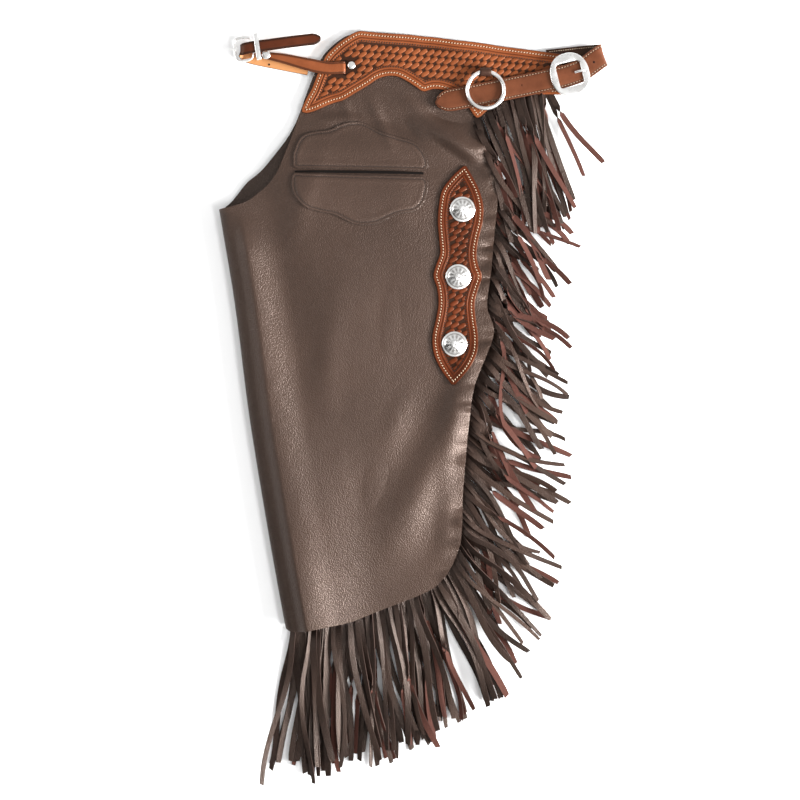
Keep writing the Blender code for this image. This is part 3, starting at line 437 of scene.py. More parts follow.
UNDER_COLUMNS = 60
UNDER_ROWS = 130
plan = np.concatenate(under_grid(UNDER_COLUMNS, UNDER_ROWS, 0.0))
base = under_base(plan[:, 1])
crown = under_top(plan[:, 0], plan[:, 1]) - SINK
rim = rim_order(UNDER_COLUMNS, UNDER_ROWS)
ring = plan[rim]
along = np.roll(ring, -1, 0) - np.roll(ring, 1, 0)
along /= np.linalg.norm(along, axis=1)[:, None]
inwards = np.stack([-along[:, 1], along[:, 0]], 1)
points = [np.c_[plan, crown], np.c_[plan, base]]
faces = grid_faces(UNDER_COLUMNS, UNDER_ROWS)
faces += [f[::-1] for f in grid_faces(UNDER_COLUMNS, UNDER_ROWS, len(plan))]
loops = [np.array(rim)]
count = 2 * len(plan)
# Two leaves of hide at the rim: each has a rounded edge, with a dark gap between.
for level, inset in ((0.86, -0.3), (0.64, -0.2), (0.55, 1.6), (0.45, 1.6), (0.36, -0.2), (0.14, -0.3)):
    z = base[rim] + (crown[rim] - base[rim]) * level
    points.append(np.c_[ring + inwards * inset, z])
    loops.append(np.arange(count, count + len(rim)))
    count += len(rim)
loops.append(np.array(rim) + len(plan))
for above, below in zip(loops, loops[1:]):
    faces += list(zip(above, np.roll(above, -1), np.roll(below, -1), below))
# Painted shade: the tone mark of 0.8 darkens the whole right leg, which lies in shade under the left one.
piece("right_leg", np.concatenate(points), faces, [hide], "hide", ["leg_under"],
      marks={"tone": np.full(count, 0.8)})


# Left leg
# One hide runs from the fringed outer seam across the front, round the
# inner fold and along the back to the same seam. The creases at the hip
# and the waves of the seam are pressed into it.
ROLL_WIDTH = 12.0
ROLL_GAP = 11.2
CROTCH_Y = 280.0
TOP_EDGE = (
    # x, y
    (-274.0, 281.0), (-250.0, 287.0), (-232.0, 293.5), (-217.5, 304.5), (-203.5, 317.0),
    (-190.5, 335.5), (-179.0, 363.5), (-170.0, 387.0), (-163.0, 407.0), (-153.0, 437.5),
    (-138.0, 476.5), (-128.0, 497.0), (-116.5, 510.0), (-103.0, 521.0), (-90.0, 527.5),
    (-47.0, 528.5), (2.0, 524.5), (50.0, 519.5), (112.0, 512.0),
)
CREASES = (
    # start x, y, end x, y, half width, height
    (5.0, 404.0, 97.0, 352.0, 12.0, 6.0),
    (12.0, 420.0, 82.0, 404.0, 8.0, -3.6),
    (20.0, 386.0, 96.0, 330.0, 9.0, -3.2),
    (-120.0, 428.0, -12.0, 398.0, 9.0, -3.0),
    (-150.0, 405.0, -60.0, 412.0, 9.0, 3.4),
    (-12.0, 398.0, 8.0, 384.0, 6.0, -2.2),
    (-60.0, 436.0, -30.0, 372.0, 8.0, 2.6),
    (-100.0, 432.0, -86.0, 412.0, 6.0, 1.8),
    (-14.0, 436.0, 30.0, 408.0, 7.0, 2.6),
)
SWELLS = (
    # x, y, direction of its length in degrees, half length, half width, height
    (46.0, -38.0, 64.0, 125.0, 27.0, 10.0),
    (-6.0, -150.0, 50.0, 60.0, 34.0, 2.5),
    (-26.0, -22.0, 70.0, 46.0, 18.0, 2.2),
    (-117.0, 85.0, 82.0, 100.0, 22.0, 2.0),
    (-60.0, -120.0, 75.0, 120.0, 40.0, -3.0),
    (-30.0, 130.0, 88.0, 120.0, 34.0, -2.6),
    (60.0, 378.0, -32.0, 44.0, 15.0, 5.0),
    (-150.0, 300.0, 70.0, 60.0, 16.0, 2.0),
)


def ruffle(x, y):
    near = np.exp(-((read(SEAM, y) - x) / 10.0) ** 2)
    fade = smooth((400.0 - y) / 60.0)
    return 2.6 * near * fade * (0.5 + 0.5 * np.sin(y * 2.0 * math.pi / 88.0 + 0.6))


def crease(x, y):
    """Soft folds of the front panel, on top of its plain form."""
    total = np.zeros_like(np.asarray(x, float) + y)
    for x0, y0, x1, y1, half, rise in CREASES:
        run = np.array([x1 - x0, y1 - y0])
        length = math.hypot(*run)
        t = np.clip(((x - x0) * run[0] + (y - y0) * run[1]) / length ** 2, 0.0, 1.0)
        away = np.hypot(x - x0 - t * run[0], y - y0 - t * run[1])
        total = total + rise * np.exp(-(away / half) ** 2) * np.sin(np.pi * (0.12 + 0.76 * t))
    for x0, y0, turn, long, wide, rise in SWELLS:
        c, s = math.cos(math.radians(turn)), math.sin(math.radians(turn))
        total = total + rise * np.exp(-(((x - x0) * c + (y - y0) * s) / long) ** 2
                                      - (((y - y0) * c - (x - x0) * s) / wide) ** 2)
    # Small puckers where the fringe is sewn into the outer seam.
    gap = read(SEAM, y) - x
    pucker = np.exp(-(gap / 13.0) ** 2) * smooth((395.0 - y) / 40.0) * (1.0 + 0.7 * smooth((y - 20.0) / 90.0))
    pucker = pucker * (0.35 + 0.9 * np.sin(0.031 * y + 1.0 + np.sin(0.013 * y)) ** 2)
    total = total + pucker * (0.7 * np.sin(y * 0.43) + 1.9 * np.sin(y * 0.21 + 3.2 * np.sin(y * 0.027)))
    # The hide stands a little fuller beside the inner fold and inside the outer seam.
    lower = smooth((200.0 - y) / 400.0)
    from_fold = x - read(FOLD, y)
    crest = 24.0 + 24.0 * lower
    wide = np.where(from_fold < crest, 30.0 + 32.0 * lower, 37.0 + 20.0 * lower)
    beside_fold = ((9.3 + 6.6 * lower) * np.exp(-((from_fold - crest) / wide) ** 2)
                   - 2.5 * np.exp(-((from_fold - 8.0) / 9.0) ** 2)) * smooth((286.0 - y) / 70.0)
    inside_seam = smooth((400.0 - y) / 120.0) * (
        5.5 * np.exp(-((gap - 36.0) / 52.0) ** 2) * smooth((y + 60.0) / 120.0)
        + 3.5 * np.exp(-((gap - 20.0) / 17.0) ** 2) * smooth((y + 245.0) / 90.0)
        * (1.0 - 0.65 * smooth((y - 30.0) / 90.0)))
    return total + beside_fold + inside_seam


def leg_inner(x, y):
    back = (LAY + HIDE + DRAPE) * (1.0 - smooth((y - STRIP_TOP) / 45.0))
    rolled = 1.0 - smooth((x - read(FOLD, y) - ROLL_WIDTH) / 70.0)
    rolled = rolled * (1.0 - smooth((y - CROTCH_Y - 3.0) / 120.0))
    in_middle = smooth((read(SEAM, y) - x - STRIP_SET) / 40.0)
    spare = 0.5 * in_middle * (1.0 - hip(y))
    gap = spare + (ROLL_GAP - spare) * rolled
    return under_top(x, y) + SEAT + back + gap + ruffle(x, y)


def leg_outer(x, y):
    return leg_inner(x, y) + HIDE


def face_up(x, y):
    """Upper face of the front panel with its creases."""
    return leg_outer(x, y) + crease(x, y)


LEG_ROWS = 210
FRONT_COLUMNS = 118
ROLL_COLUMNS = 12
BACK_COLUMNS = 26
outer = []
inner = []
for i in range(FRONT_COLUMNS):
    share = (i / (FRONT_COLUMNS - 1.0)) ** 0.92

    def x_at(y, share=share):
        right = read(SEAM, y)
        return right + (read(FOLD, y) + ROLL_WIDTH - right) * share

    low = meet(x_at, lambda x: read(HEM, x), -320.0, -200.0)
    high = meet(x_at, lambda x: read(TOP_EDGE, x), 270.0, 540.0)
    y = np.linspace(low, high, LEG_ROWS)
    x = x_at(y)
    fade = smooth((x - read(FOLD, y) - ROLL_WIDTH) / 20.0)
    lift = crease(x, y) * fade
    outer.append(np.stack([x, y, leg_outer(x, y) + lift], 1))
    inner.append(np.stack([x, y, leg_inner(x, y) + np.maximum(lift, 0.0) * 0.7], 1))
low_edge = outer[-1][0, 1]
high_edge = outer[-1][-1, 1]
for i in range(1, ROLL_COLUMNS + 1):
    turn = math.pi * i / (ROLL_COLUMNS + 1.0)
    start = low_edge + BACK_SET * smooth(i / (ROLL_COLUMNS + 1.0))
    end = high_edge - (high_edge - CROTCH_Y) * math.sin(turn / 2.0)
    y = np.linspace(start, end, LEG_ROWS)
    x = read(FOLD, y) + ROLL_WIDTH
    top = leg_outer(x, y)
    bottom = under_top(x, y) + LAY
    centre = 0.5 * (top + bottom)
    half = 0.5 * (top - bottom)
    out = math.sin(turn)
    up = math.cos(turn)
    outer.append(np.stack([x - ROLL_WIDTH * out, y, centre + half * up], 1))
    inner.append(np.stack([x - (ROLL_WIDTH - HIDE) * out, y, centre + (half - HIDE) * up], 1))
for i in range(BACK_COLUMNS):
    share = i / (BACK_COLUMNS - 1.0)

    def x_at(y, share=share):
        left = read(FOLD, y) + ROLL_WIDTH
        return left + (seam_in(UNDER_SEAM, y, BACK_SET) - left) * share

    low = meet(x_at, lambda x: hem_in(x, BACK_SET), -320.0, -180.0)
    y = np.linspace(low, CROTCH_Y + 2.0, LEG_ROWS)
    x = x_at(y)
    outer.append(np.stack([x, y, under_top(x, y) + LAY], 1))
    inner.append(np.stack([x, y, under_top(x, y) + LAY + HIDE], 1))
columns = len(outer)
points = np.concatenate(outer + inner)
behind = columns * LEG_ROWS
faces = grid_faces(columns, LEG_ROWS)
faces += [f[::-1] for f in grid_faces(columns, LEG_ROWS, behind)]
rim = rim_order(columns, LEG_ROWS)
# The cut edge bulges slightly between the grain and the flesh side.
middle = 0.5 * (points[rim] + points[np.array(rim) + behind])
count = len(points)
points = np.concatenate([points, middle])
for n in range(len(rim)):
    m = (n + 1) % len(rim)
    faces.append((rim[n], count + n, count + m, rim[m]))
    faces.append((count + n, rim[n] + behind, rim[m] + behind, count + m))
# The cut edge is dark: partly the colour of the raw edge, partly painted shade along the rims of the leg and the
# strands.
cut_edge = two_toned("cut edge", 0.85, 0.15, "TexNoise", 900.0, (0.020, 0.012, 0.010), (0.055, 0.032, 0.025),
                     0.0003, Detail=3.0)
which = np.zeros(len(faces), int)
which[-2 * len(rim):] = 1
# Painted shade: the tone mark darkens the hide along the inner fold.
painted_fold_shade = 0.85 * np.exp(-((points[:, 0] - read(FOLD, points[:, 1])) / 14.0) ** 2) * smooth((284.0 - points[:, 1]) / 12.0)
leg_top = piece("left_leg", points, faces, [hide, cut_edge], "hide", ["leg_top"], marks={"tone": painted_fold_shade}, which=which)


# Cut fringe
# Strips of the same hide are sewn into the outer seams and hems and under
# the yoke, then cut into long strands. They curl and turn over, so the
# brown flesh side shows between grey-brown grain sides.
SIDE_FRINGE = (
    # root y, heading in degrees, strand length
    (424.0, -70.0, 112.0), (362.0, -56.0, 134.0), (300.0, -54.0, 134.0), (200.0, -52.0, 136.0), (100.0, -50.0, 140.0),
    (0.0, -47.0, 155.0), (-100.0, -50.0, 158.0), (-190.0, -58.0, 168.0), (-228.0, -64.0, 180.0),
)
HEM_FRINGE = (
    # root x, heading in degrees, strand length
    (47.0, -63.0, 190.0), (14.0, -76.0, 202.0), (-47.0, -84.0, 210.0), (-110.0, -90.0, 208.0),
    (-162.0, -94.0, 214.0), (-175.0, -95.0, 212.0),
)
HIP_FRINGE = (
    # root x, root y, heading in degrees, strand length
    (188.0, 452.0, -60.0, 136.0), (183.0, 452.0, -63.0, 140.0), (180.0, 452.0, -80.0, 178.0),
    (168.0, 452.0, -80.0, 192.0), (146.0, 451.0, -79.0, 202.0), (122.0, 443.0, -74.0, 198.0),
    (108.0, 430.0, -72.0, 190.0), (97.0, 418.0, -72.0, 172.0),
)
STRAND_STEPS = 22

strand_grain = grained_hide("strand grain", (0.0100, 0.0052, 0.0038), (0.0320, 0.0178, 0.0128), 640.0, 0.0003,
                            0.38, 0.33)


def wobble(seed):
    """A repeatable value from -1 to 1."""
    value = math.sin(seed * 12.9898 + 4.1) * 43758.5453
    return 2.0 * (value - math.floor(value)) - 1.0


def edge_path(table, edge_at, inset):
    """Points along an edge, inset millimetres inside it, with each strand's heading and length."""
    rows = []
    for a, b in zip(table, table[1:]):
        rows += [[p + (q - p) * n / 60.0 for p, q in zip(a, b)] for n in range(60)]
    rows.append(list(table[-1]))
    rows = np.array(rows)
    spots = edge_at(rows)
    along = np.gradient(spots, axis=0)
    along /= np.linalg.norm(along, axis=1)[:, None]
    spots = spots + np.stack([along[:, 1], -along[:, 0]], 1) * inset
    return spots, rows[:, -2], rows[:, -1]


def fringe(name, nodes, path, pitch, width, low, high, root_z, seed, over, sway, shorten=1.0, gather=-22.0,
           bunch_width=34.0, dim=0.0):
    """Strands along a path: over is the share that turn their flesh side up, more of them further up."""
    spots, headings, reaches = path
    gone = np.r_[0.0, np.cumsum(np.linalg.norm(np.diff(spots, axis=0), axis=1))]
    count = int(gone[-1] // pitch)
    points = []
    faces = []
    which = []
    tones = []
    for n in range(count):
        s = seed + n
        distance = (n + 0.5 + 0.25 * wobble(s * 2.0)) * pitch
        x = np.interp(distance, gone, spots[:, 0])
        y = np.interp(distance, gone, spots[:, 1])
        heading = np.interp(distance, gone, headings)
        reach = np.interp(distance, gone, reaches) * shorten * (0.97 + 0.09 * wobble(s * 3.0 + 7.0))
        # Neighbours hang in bunches that lean together and leave gaps between them.
        bunch = distance / bunch_width + 0.35 * math.sin(distance * 0.05 + seed)
        within = bunch - math.floor(bunch) - 0.5
        drift = sway * (1.1 * wobble(math.floor(bunch) * 3.7 + seed) + 0.5 * wobble(s * 5.0 + 1.0))
        drift += gather * within
        bend = sway * (0.9 + 0.8 * wobble(s * 7.0 + 2.0)) * (1.0 if wobble(s * 11.0) > 0 else -1.0)
        phase = 1.5 * wobble(s * 13.0)
        lane = low + (high - low) * (0.5 + 0.5 * wobble(s * 17.0))
        turns = wobble(s * 19.0) < 2.0 * (over + y / 1200.0) - 1.0
        turn_at = 0.30 + 0.26 * wobble(s * 23.0)
        lean = 0.75 * wobble(s * 29.0)
        broad = width * (1.0 + 0.24 * wobble(s * 31.0))
        start_z = root_z(x, y)
        step = reach / (STRAND_STEPS - 1.0)
        first = len(points)
        for k in range(STRAND_STEPS):
            t = k / (STRAND_STEPS - 1.0)
            angle = math.radians(heading + drift * smooth(t * 2.5)
                                 + bend * math.sin(4.2 * t + phase) * smooth(t * 3.0))
            if k:
                x += step * math.cos(angle)
                y += step * math.sin(angle)
            roll = lean * math.sin(3.0 * t + phase)
            if turns:
                roll += math.pi * float(smooth((t - turn_at) / 0.16))
            z = start_z + (lane - start_z) * smooth(t * 6.0) + 1.1 * math.sin(7.0 * t + s) * smooth(t * 4.0)
            span = broad * (0.5 - 0.06 * t) * (1.0 if k < STRAND_STEPS - 1 else 0.86)
            z = max(z, 0.9 + span * abs(math.sin(roll)))
            flat = math.cos(roll)
            tall = math.sin(roll)
            side = (-math.sin(angle) * flat, math.cos(angle) * flat, tall)
            face = (math.sin(angle) * tall, -math.cos(angle) * tall, flat)
            slant = 1.6 * wobble(s * 37.0) if k == STRAND_STEPS - 1 else 0.0
            for across, up in ((1, 1), (0, 1.25), (-1, 1), (-1, -1), (0, -1), (1, -1)):
                shift = slant * across
                points.append((x + side[0] * span * across + face[0] * 0.7 * up + math.cos(angle) * shift,
                               y + side[1] * span * across + face[1] * 0.7 * up + math.sin(angle) * shift,
                               max(z + side[2] * span * across + face[2] * 0.7 * up, 0.05)))
        for k in range(STRAND_STEPS - 1):
            a = first + 6 * k
            for c in range(6):
                d = (c + 1) % 6
                faces.append((a + c, a + d, a + 6 + d, a + 6 + c))
                which.append((0, 0, 2, 1, 1, 2)[c])
        faces.append(tuple(range(first, first + 6)))
        faces.append(tuple(range(len(points) - 6, len(points))))
        which += [2, 2]
        # Each strand's tone darkens it by a random amount, by at least dim, and near its root with painted shade
        # where it runs under the edge of the leg.
        shade = 0.75 * max(0.0, wobble(s * 41.0))
        tones += [max(shade, dim, 0.9 - k // 6 * 0.22) for k in range(len(points) - first)]
    return piece(name, points, faces, [strand_grain, flesh, cut_edge], "fringe_leather", nodes, which=which,
                 marks={"tone": tones}, sharp=50.0)


def on_seam(rows):
    return np.stack([read(SEAM, rows[:, 0]), rows[:, 0]], 1)


def on_under_seam(rows):
    return np.stack([read(UNDER_SEAM, rows[:, 0]), rows[:, 0]], 1)


def on_hem(rows):
    return np.stack([rows[:, 0], read(HEM, rows[:, 0])], 1)


def inside_top(x, y):
    return float(under_top(x, y)) + 1.4


# dim is the least darkening of each strand; on the under layers it is painted shade.
fringes = [
    fringe("side_fringe", ["fringe_side"], edge_path(SIDE_FRINGE, on_seam, 4.0), 6.6, 7.4,
           5.5, 17.0, inside_top, 11.0, 0.44, 15.0, 1.03, -34.0, 42.0),
    fringe("side_fringe_under", ["fringe_side_under"], edge_path(SIDE_FRINGE[2:], on_under_seam, 4.0), 16.0, 8.0,
           1.0, 5.0, lambda x, y: 1.6, 411.0, 0.6, 12.0, 0.97, dim=0.35),
    fringe("hem_fringe", ["fringe_hem"], edge_path(HEM_FRINGE, on_hem, 4.0), 5.1, 8.4,
           5.5, 15.0, inside_top, 211.0, 0.34, 8.0, 1.0, -11.0, 40.0, 0.45),
    fringe("hem_fringe_under", ["fringe_hem_under"], edge_path(HEM_FRINGE, on_hem, 4.0), 5.2, 8.2,
           1.0, 5.0, lambda x, y: 1.6, 611.0, 0.55, 7.0, 0.96, -14.0, 40.0, 0.4),
    fringe("hip_fringe", ["fringe_hip"], edge_path(HIP_FRINGE, lambda rows: rows[:, :2], 3.0), 3.4, 7.2,
           6.5, 17.0, lambda x, y: 8.0, 811.0, 0.04, 8.0, 1.0, -22.0, 19.0, 0.55),
]


# Pocket
# Two scalloped pieces of the same hide, sewn down round their edges in
# matching brown thread, with the slot of the pocket between them.
POCKET_UPPER = (
    # x, lower edge y, upper edge y
    (-169.0, 342.0, 358.0), (-163.0, 339.0, 376.0), (-154.0, 339.0, 387.0), (-138.0, 338.5, 392.0),
    (-118.0, 338.5, 394.5), (-104.0, 338.0, 401.0), (-90.0, 338.0, 405.0), (-72.0, 337.5, 405.0),
    (-62.0, 337.5, 401.0), (-45.0, 337.0, 391.5), (-19.0, 336.5, 383.5), (3.0, 336.0, 376.0),
    (15.0, 336.0, 363.0), (20.5, 341.0, 350.0),
)
POCKET_LOWER = (
    # x, lower edge y, upper edge y
    (-171.0, 313.0, 327.0), (-167.0, 301.0, 332.5), (-153.0, 285.0, 332.0), (-134.0, 278.0, 331.5),
    (-112.0, 273.5, 331.0), (-99.0, 267.5, 330.5), (-84.0, 260.5, 330.0), (-68.0, 259.0, 329.5),
    (-50.0, 261.5, 329.5), (-33.0, 269.5, 329.0), (-18.0, 275.0, 328.5), (3.0, 279.5, 328.0),
    (15.0, 292.0, 327.5), (20.5, 309.0, 321.0),
)

POCKET_THREAD_IN = 4.2
POCKET_THICK = 1.7
CLEAR_OF_LEG = 0.35


def outline_of(table, turned=False):
    """The edge of a piece given by stations, as points about a millimetre apart."""
    keys = np.linspace(table[0][0], table[-1][0], int(abs(table[-1][0] - table[0][0])) + 1)
    first = np.stack([keys, read(table, keys, 1)], 1)
    second = np.stack([keys, read(table, keys, 2)], 1)[::-1]
    loop = np.concatenate([first, second])
    if turned:
        loop = loop[:, ::-1]
    dense = []
    for a, b in zip(loop, np.roll(loop, -1, 0)):
        steps = max(int(np.linalg.norm(b - a)), 1)
        dense += [a + (b - a) * n / steps for n in range(steps)]
    return np.array(dense)


def edge_distance(x, y, outline):
    """Distance of each point from an outline."""
    spots = np.stack([np.ravel(x), np.ravel(y)], 1)
    found = []
    for n in range(0, len(spots), 2000):
        part = spots[n:n + 2000, None, :] - outline[None, :, :]
        found.append(np.sqrt((part ** 2).sum(2).min(1)))
    return np.concatenate(found)


def inset_line(outline, inset):
    """The outline moved inwards, with what crosses itself left out."""
    along = np.roll(outline, -2, 0) - np.roll(outline, 2, 0)
    along /= np.linalg.norm(along, axis=1)[:, None] + 1e-9
    area = np.sum(outline[:, 0] * np.roll(outline[:, 1], -1) - np.roll(outline[:, 0], -1) * outline[:, 1])
    inwards = np.stack([-along[:, 1], along[:, 0]], 1) * np.sign(area)
    moved = outline + inwards * inset
    return moved[edge_distance(moved[:, 0], moved[:, 1], outline) > inset - 0.25]


def ring_faces(rings, around, closed=False):
    """Quads that join each ring of points to the next."""
    faces = []
    for r in range(rings if closed else rings - 1):
        a, b = r * around, (r + 1) % rings * around
        faces += [(a + k, a + (k + 1) % around, b + (k + 1) % around, b + k) for k in range(around)]
    return faces


def capped_faces(rings, around):
    ends = [tuple(range(around)), tuple(range((rings - 1) * around, rings * around))]
    return ring_faces(rings, around) + ends


# One stitch: a bead of thread, plump in the middle, along x.
STITCH = [(-0.5, 0.0, 0.0)]
for at, wide in ((-0.36, 0.75), (0.0, 1.0), (0.36, 0.75)):
    STITCH += [(at, wide * math.cos(a), wide * math.sin(a)) for a in np.linspace(0, 2 * math.pi, 7)[:6]]
STITCH = np.array(STITCH + [(0.5, 0.0, 0.0)])
STITCH_FACES = [(0, 1 + (k + 1) % 6, 1 + k) for k in range(6)]
STITCH_FACES += [tuple(1 + v for v in f) for f in ring_faces(3, 6)]
STITCH_FACES += [(19, 13 + k, 13 + (k + 1) % 6) for k in range(6)]


def stitches(line, height, pitch, length, thick, turn=0.0):
    """Thread stitches laid round a closed line on a surface."""
    line = np.concatenate([line, line[:1]])
    gone = np.r_[0.0, np.cumsum(np.linalg.norm(np.diff(line, axis=0), axis=1))]
    spots = np.arange(pitch * 0.5, gone[-1], pitch)
    x = np.interp(spots, gone, line[:, 0])
    y = np.interp(spots, gone, line[:, 1])
    dx = np.interp(spots + 1.0, gone, line[:, 0]) - np.interp(spots - 1.0, gone, line[:, 0])
    dy = np.interp(spots + 1.0, gone, line[:, 1]) - np.interp(spots - 1.0, gone, line[:, 1])
    size = np.hypot(dx, dy) + 1e-9
    dx, dy = dx / size, dy / size
    c, s = math.cos(math.radians(turn)), math.sin(math.radians(turn))
    dx, dy = dx * c - dy * s, dx * s + dy * c
    z = height(x, y)
    shape = STITCH * (length, thick, thick)
    points = np.stack([
        x[:, None] + dx[:, None] * shape[:, 0] - dy[:, None] * shape[:, 1],
        y[:, None] + dy[:, None] * shape[:, 0] + dx[:, None] * shape[:, 1],
        z[:, None] + shape[:, 2] + 0.05,
    ], 2).reshape(-1, 3)
    return points, [tuple(v + len(STITCH) * n for v in f) for n in range(len(spots)) for f in STITCH_FACES]


def joined(parts):
    """Put several sets of points and faces together."""
    points = []
    faces = []
    count = 0
    for these, those in parts:
        points.append(np.asarray(these, float))
        faces += [tuple(v + count for v in f) for f in those]
        count += len(these)
    return np.concatenate(points), faces


def laid(table, under, thick, step, relief=None, turned=False, hole=None):
    """A flat leather piece laid on a surface, with a rounded cut edge."""
    outline = outline_of(table, turned)
    length = abs(table[-1][0] - table[0][0])
    keys = np.linspace(0.0, length, int(length / step) + 1)
    keys = np.unique(np.r_[keys, 0.5, 1.3, length - 1.3, length - 0.5]) + min(table[0][0], table[-1][0])
    widest = max(row[2] - row[1] for row in table)
    rows = int(widest / step) + 1
    plan = []
    for key in keys:
        first = float(read(table, key, 1))
        second = float(read(table, key, 2))
        wide = second - first
        inner = np.linspace(min(1.3, 0.2 * wide), wide - min(1.3, 0.2 * wide), rows)
        across = first + np.r_[0.0, min(0.5, 0.08 * wide), inner, wide - min(0.5, 0.08 * wide), wide]
        column = np.stack([np.full(len(across), key), across], 1)
        plan.append(column[:, ::-1] if turned else column)
    columns = len(plan)
    rows = len(plan[0])
    flat = np.concatenate(plan)
    away = edge_distance(flat[:, 0], flat[:, 1], outline)
    ground = under(flat[:, 0], flat[:, 1])
    top = ground + thick * (0.62 + 0.38 * np.sqrt(np.clip(1.0 - (1.0 - np.clip(away / 1.3, 0, 1)) ** 2, 0, 1)))
    if relief is not None:
        top = top + relief(flat[:, 0], flat[:, 1], away)
    points = np.concatenate([np.c_[flat, top], np.c_[flat, ground]])
    faces = grid_faces(columns, rows)
    if hole:
        inside = [hole[0] < flat[f, 0].mean() < hole[1] and hole[2] < flat[f, 1].mean() < hole[3]
                  for f in map(list, faces)]
        kept = [f for f, gone in zip(faces, inside) if not gone]
    else:
        kept = faces
    faces = kept + [tuple(v + len(flat) for v in f[::-1]) for f in kept]
    rim = rim_order(columns, rows)
    for n in range(len(rim)):
        m = (n + 1) % len(rim)
        faces.append((rim[m], rim[n], rim[n] + len(flat), rim[m] + len(flat)))
    return points, faces, np.r_[away, np.zeros(len(flat))]


def on_leg(x, y):
    """What is sewn to the leg lies on it, and level past the outer seam."""
    return face_up(np.minimum(x, read(SEAM, y)), y) + CLEAR_OF_LEG


pocket_hide = grained_hide("pocket hide", (0.0265, 0.0148, 0.0103), (0.0360, 0.0205, 0.0146), HIDE_CELLS, 0.00034,
                           0.35)
brown_thread = two_toned("brown thread", 0.7, 0.3, "TexWave", 900.0, (0.012, 0.008, 0.006), (0.034, 0.022, 0.017),
                         Distortion=1.0)
sewn_on = []
for name, table in (("pocket_upper", POCKET_UPPER), ("pocket_lower", POCKET_LOWER)):
    def sewn(x, y, away):
        trough = -0.4 * np.exp(-((away - POCKET_THREAD_IN) / 1.1) ** 2)
        return trough + 0.3 * np.exp(-((away - 8.5) / 3.0) ** 2)

    def sewn_height(x, y):
        return on_leg(x, y) + POCKET_THICK - 0.35

    points, faces, away = laid(table, on_leg, POCKET_THICK, 1.1, sewn)
    # Painted shade: the tone mark darkens the pocket's rounded edge and the trough of its stitch line.
    tone = np.maximum(1.0 - smooth(away / 2.0), 0.9 * np.exp(-((away - POCKET_THREAD_IN) / 0.8) ** 2))
    sewn_on.append(piece(name + "_panel", points, faces, [pocket_hide], "hide", [name], marks={"tone": tone}))
    line = inset_line(outline_of(table), POCKET_THREAD_IN)
    sewn_on.append(piece(name + "_thread", *stitches(line, sewn_height, 3.4, 2.6, 0.42), [brown_thread], "hide"))
# Painted shadow: a thin near-black strip lies in the slot of the pocket, where there is only shade.
slot_shadow, tree, shader, place = finish("painted slot shadow", 0.9, 0.1)
shader.inputs["Base Color"].default_value = (0.0040, 0.0026, 0.0020, 1.0)
slot = ((-166.0, 333.3, 335.9), (-120.0, 332.6, 336.3), (-30.0, 331.4, 335.2), (14.0, 330.5, 333.7))
points, faces, away = laid(slot, on_leg, 0.9, 1.5)
sewn_on.append(piece("pocket_slot_shadow", points, faces, [slot_shadow], "hide"))


# Tooled yoke
# Stout russet leather is cased, stamped with a basketweave and finished
# with a dark antique that stays in the hollows. A groove and a row of
# cream stitches follow its edge. It is sewn over the top of the leg.
YOKE = (
    # x, lower edge y, upper edge y
    (-157.0, 419.0, 424.0), (-151.0, 417.5, 437.5), (-143.0, 419.0, 452.0), (-133.5, 422.5, 476.5),
    (-124.0, 427.0, 497.0), (-112.5, 431.5, 510.0), (-99.0, 435.5, 521.0), (-78.5, 447.5, 532.5),
    (-62.0, 457.5, 532.0), (-50.0, 465.5, 531.0), (-37.0, 469.5, 530.0), (-22.0, 468.5, 529.0),
    (-8.0, 461.5, 528.0), (2.0, 455.0, 527.0), (13.5, 448.0, 525.5), (27.0, 451.0, 524.5),
    (40.0, 450.0, 523.0), (58.0, 442.5, 520.5), (77.0, 425.5, 518.5), (89.0, 411.0, 517.0),
    (103.0, 420.5, 515.0), (121.0, 434.5, 512.0), (148.0, 443.0, 508.5), (178.0, 443.5, 504.5),
    (209.0, 443.5, 500.5),
)
THREAD_IN = 4.8
GROOVE_IN = 9.4
FIELD_IN = 12.6
FIELD_DEPTH = 0.75
LOAF_PITCH = 9.95
LOAF_ROW = 10.0
LOAF_LONG = 14.0
LOAF_WIDE = 7.1
LOAF_TURN = 36.0
ROW_TURN = -4.5


def tooled_finish(name, russet, pale, dark):
    """Russet leather whose marks give the edge distance and how much the antique was wiped off."""
    made, tree, shader, place = finish(name, 0.36, 0.24, sheen=(1.0, 0.58, 0.38, 1.0))
    edge = mark(tree, "edge")
    wiped = mark(tree, "wiped")
    cloud = node(tree, "TexNoise", Vector=place, Scale=24.0, Detail=5.0, Roughness=0.6)
    pores = node(tree, "TexNoise", Vector=place, Scale=1100.0, Detail=3.0)
    colour = mixed(tree, ranged(tree, cloud.outputs[0], 0.32, 0.7), russet, pale)
    groove = ranged(tree, maths(tree, "ABSOLUTE", maths(tree, "SUBTRACT", edge, GROOVE_IN)), 1.3, 0.25)
    colour = mixed(tree, maths(tree, "MULTIPLY", groove, 0.8), colour, (0.050, 0.010, 0.0035))
    seam = ranged(tree, maths(tree, "ABSOLUTE", maths(tree, "SUBTRACT", edge, THREAD_IN)), 1.2, 0.3)
    colour = mixed(tree, maths(tree, "MULTIPLY", seam, 0.55), colour, times(russet, 0.45))
    colour = mixed(tree, ranged(tree, edge, 1.1, 0.2), colour, (0.022, 0.007, 0.004))
    antique = mixed(tree, ranged(tree, cloud.outputs[0], 0.3, 0.7), dark, times(dark, 1.8))
    colour = mixed(tree, wiped, antique, colour)
    tree.links.new(colour, shader.inputs["Base Color"])
    tree.links.new(ranged(tree, pores.outputs[0], 0.2, 0.8, 0.28, 0.46), shader.inputs["Roughness"])
    bumped(tree, shader, pores.outputs[0], 0.00022)
    return made


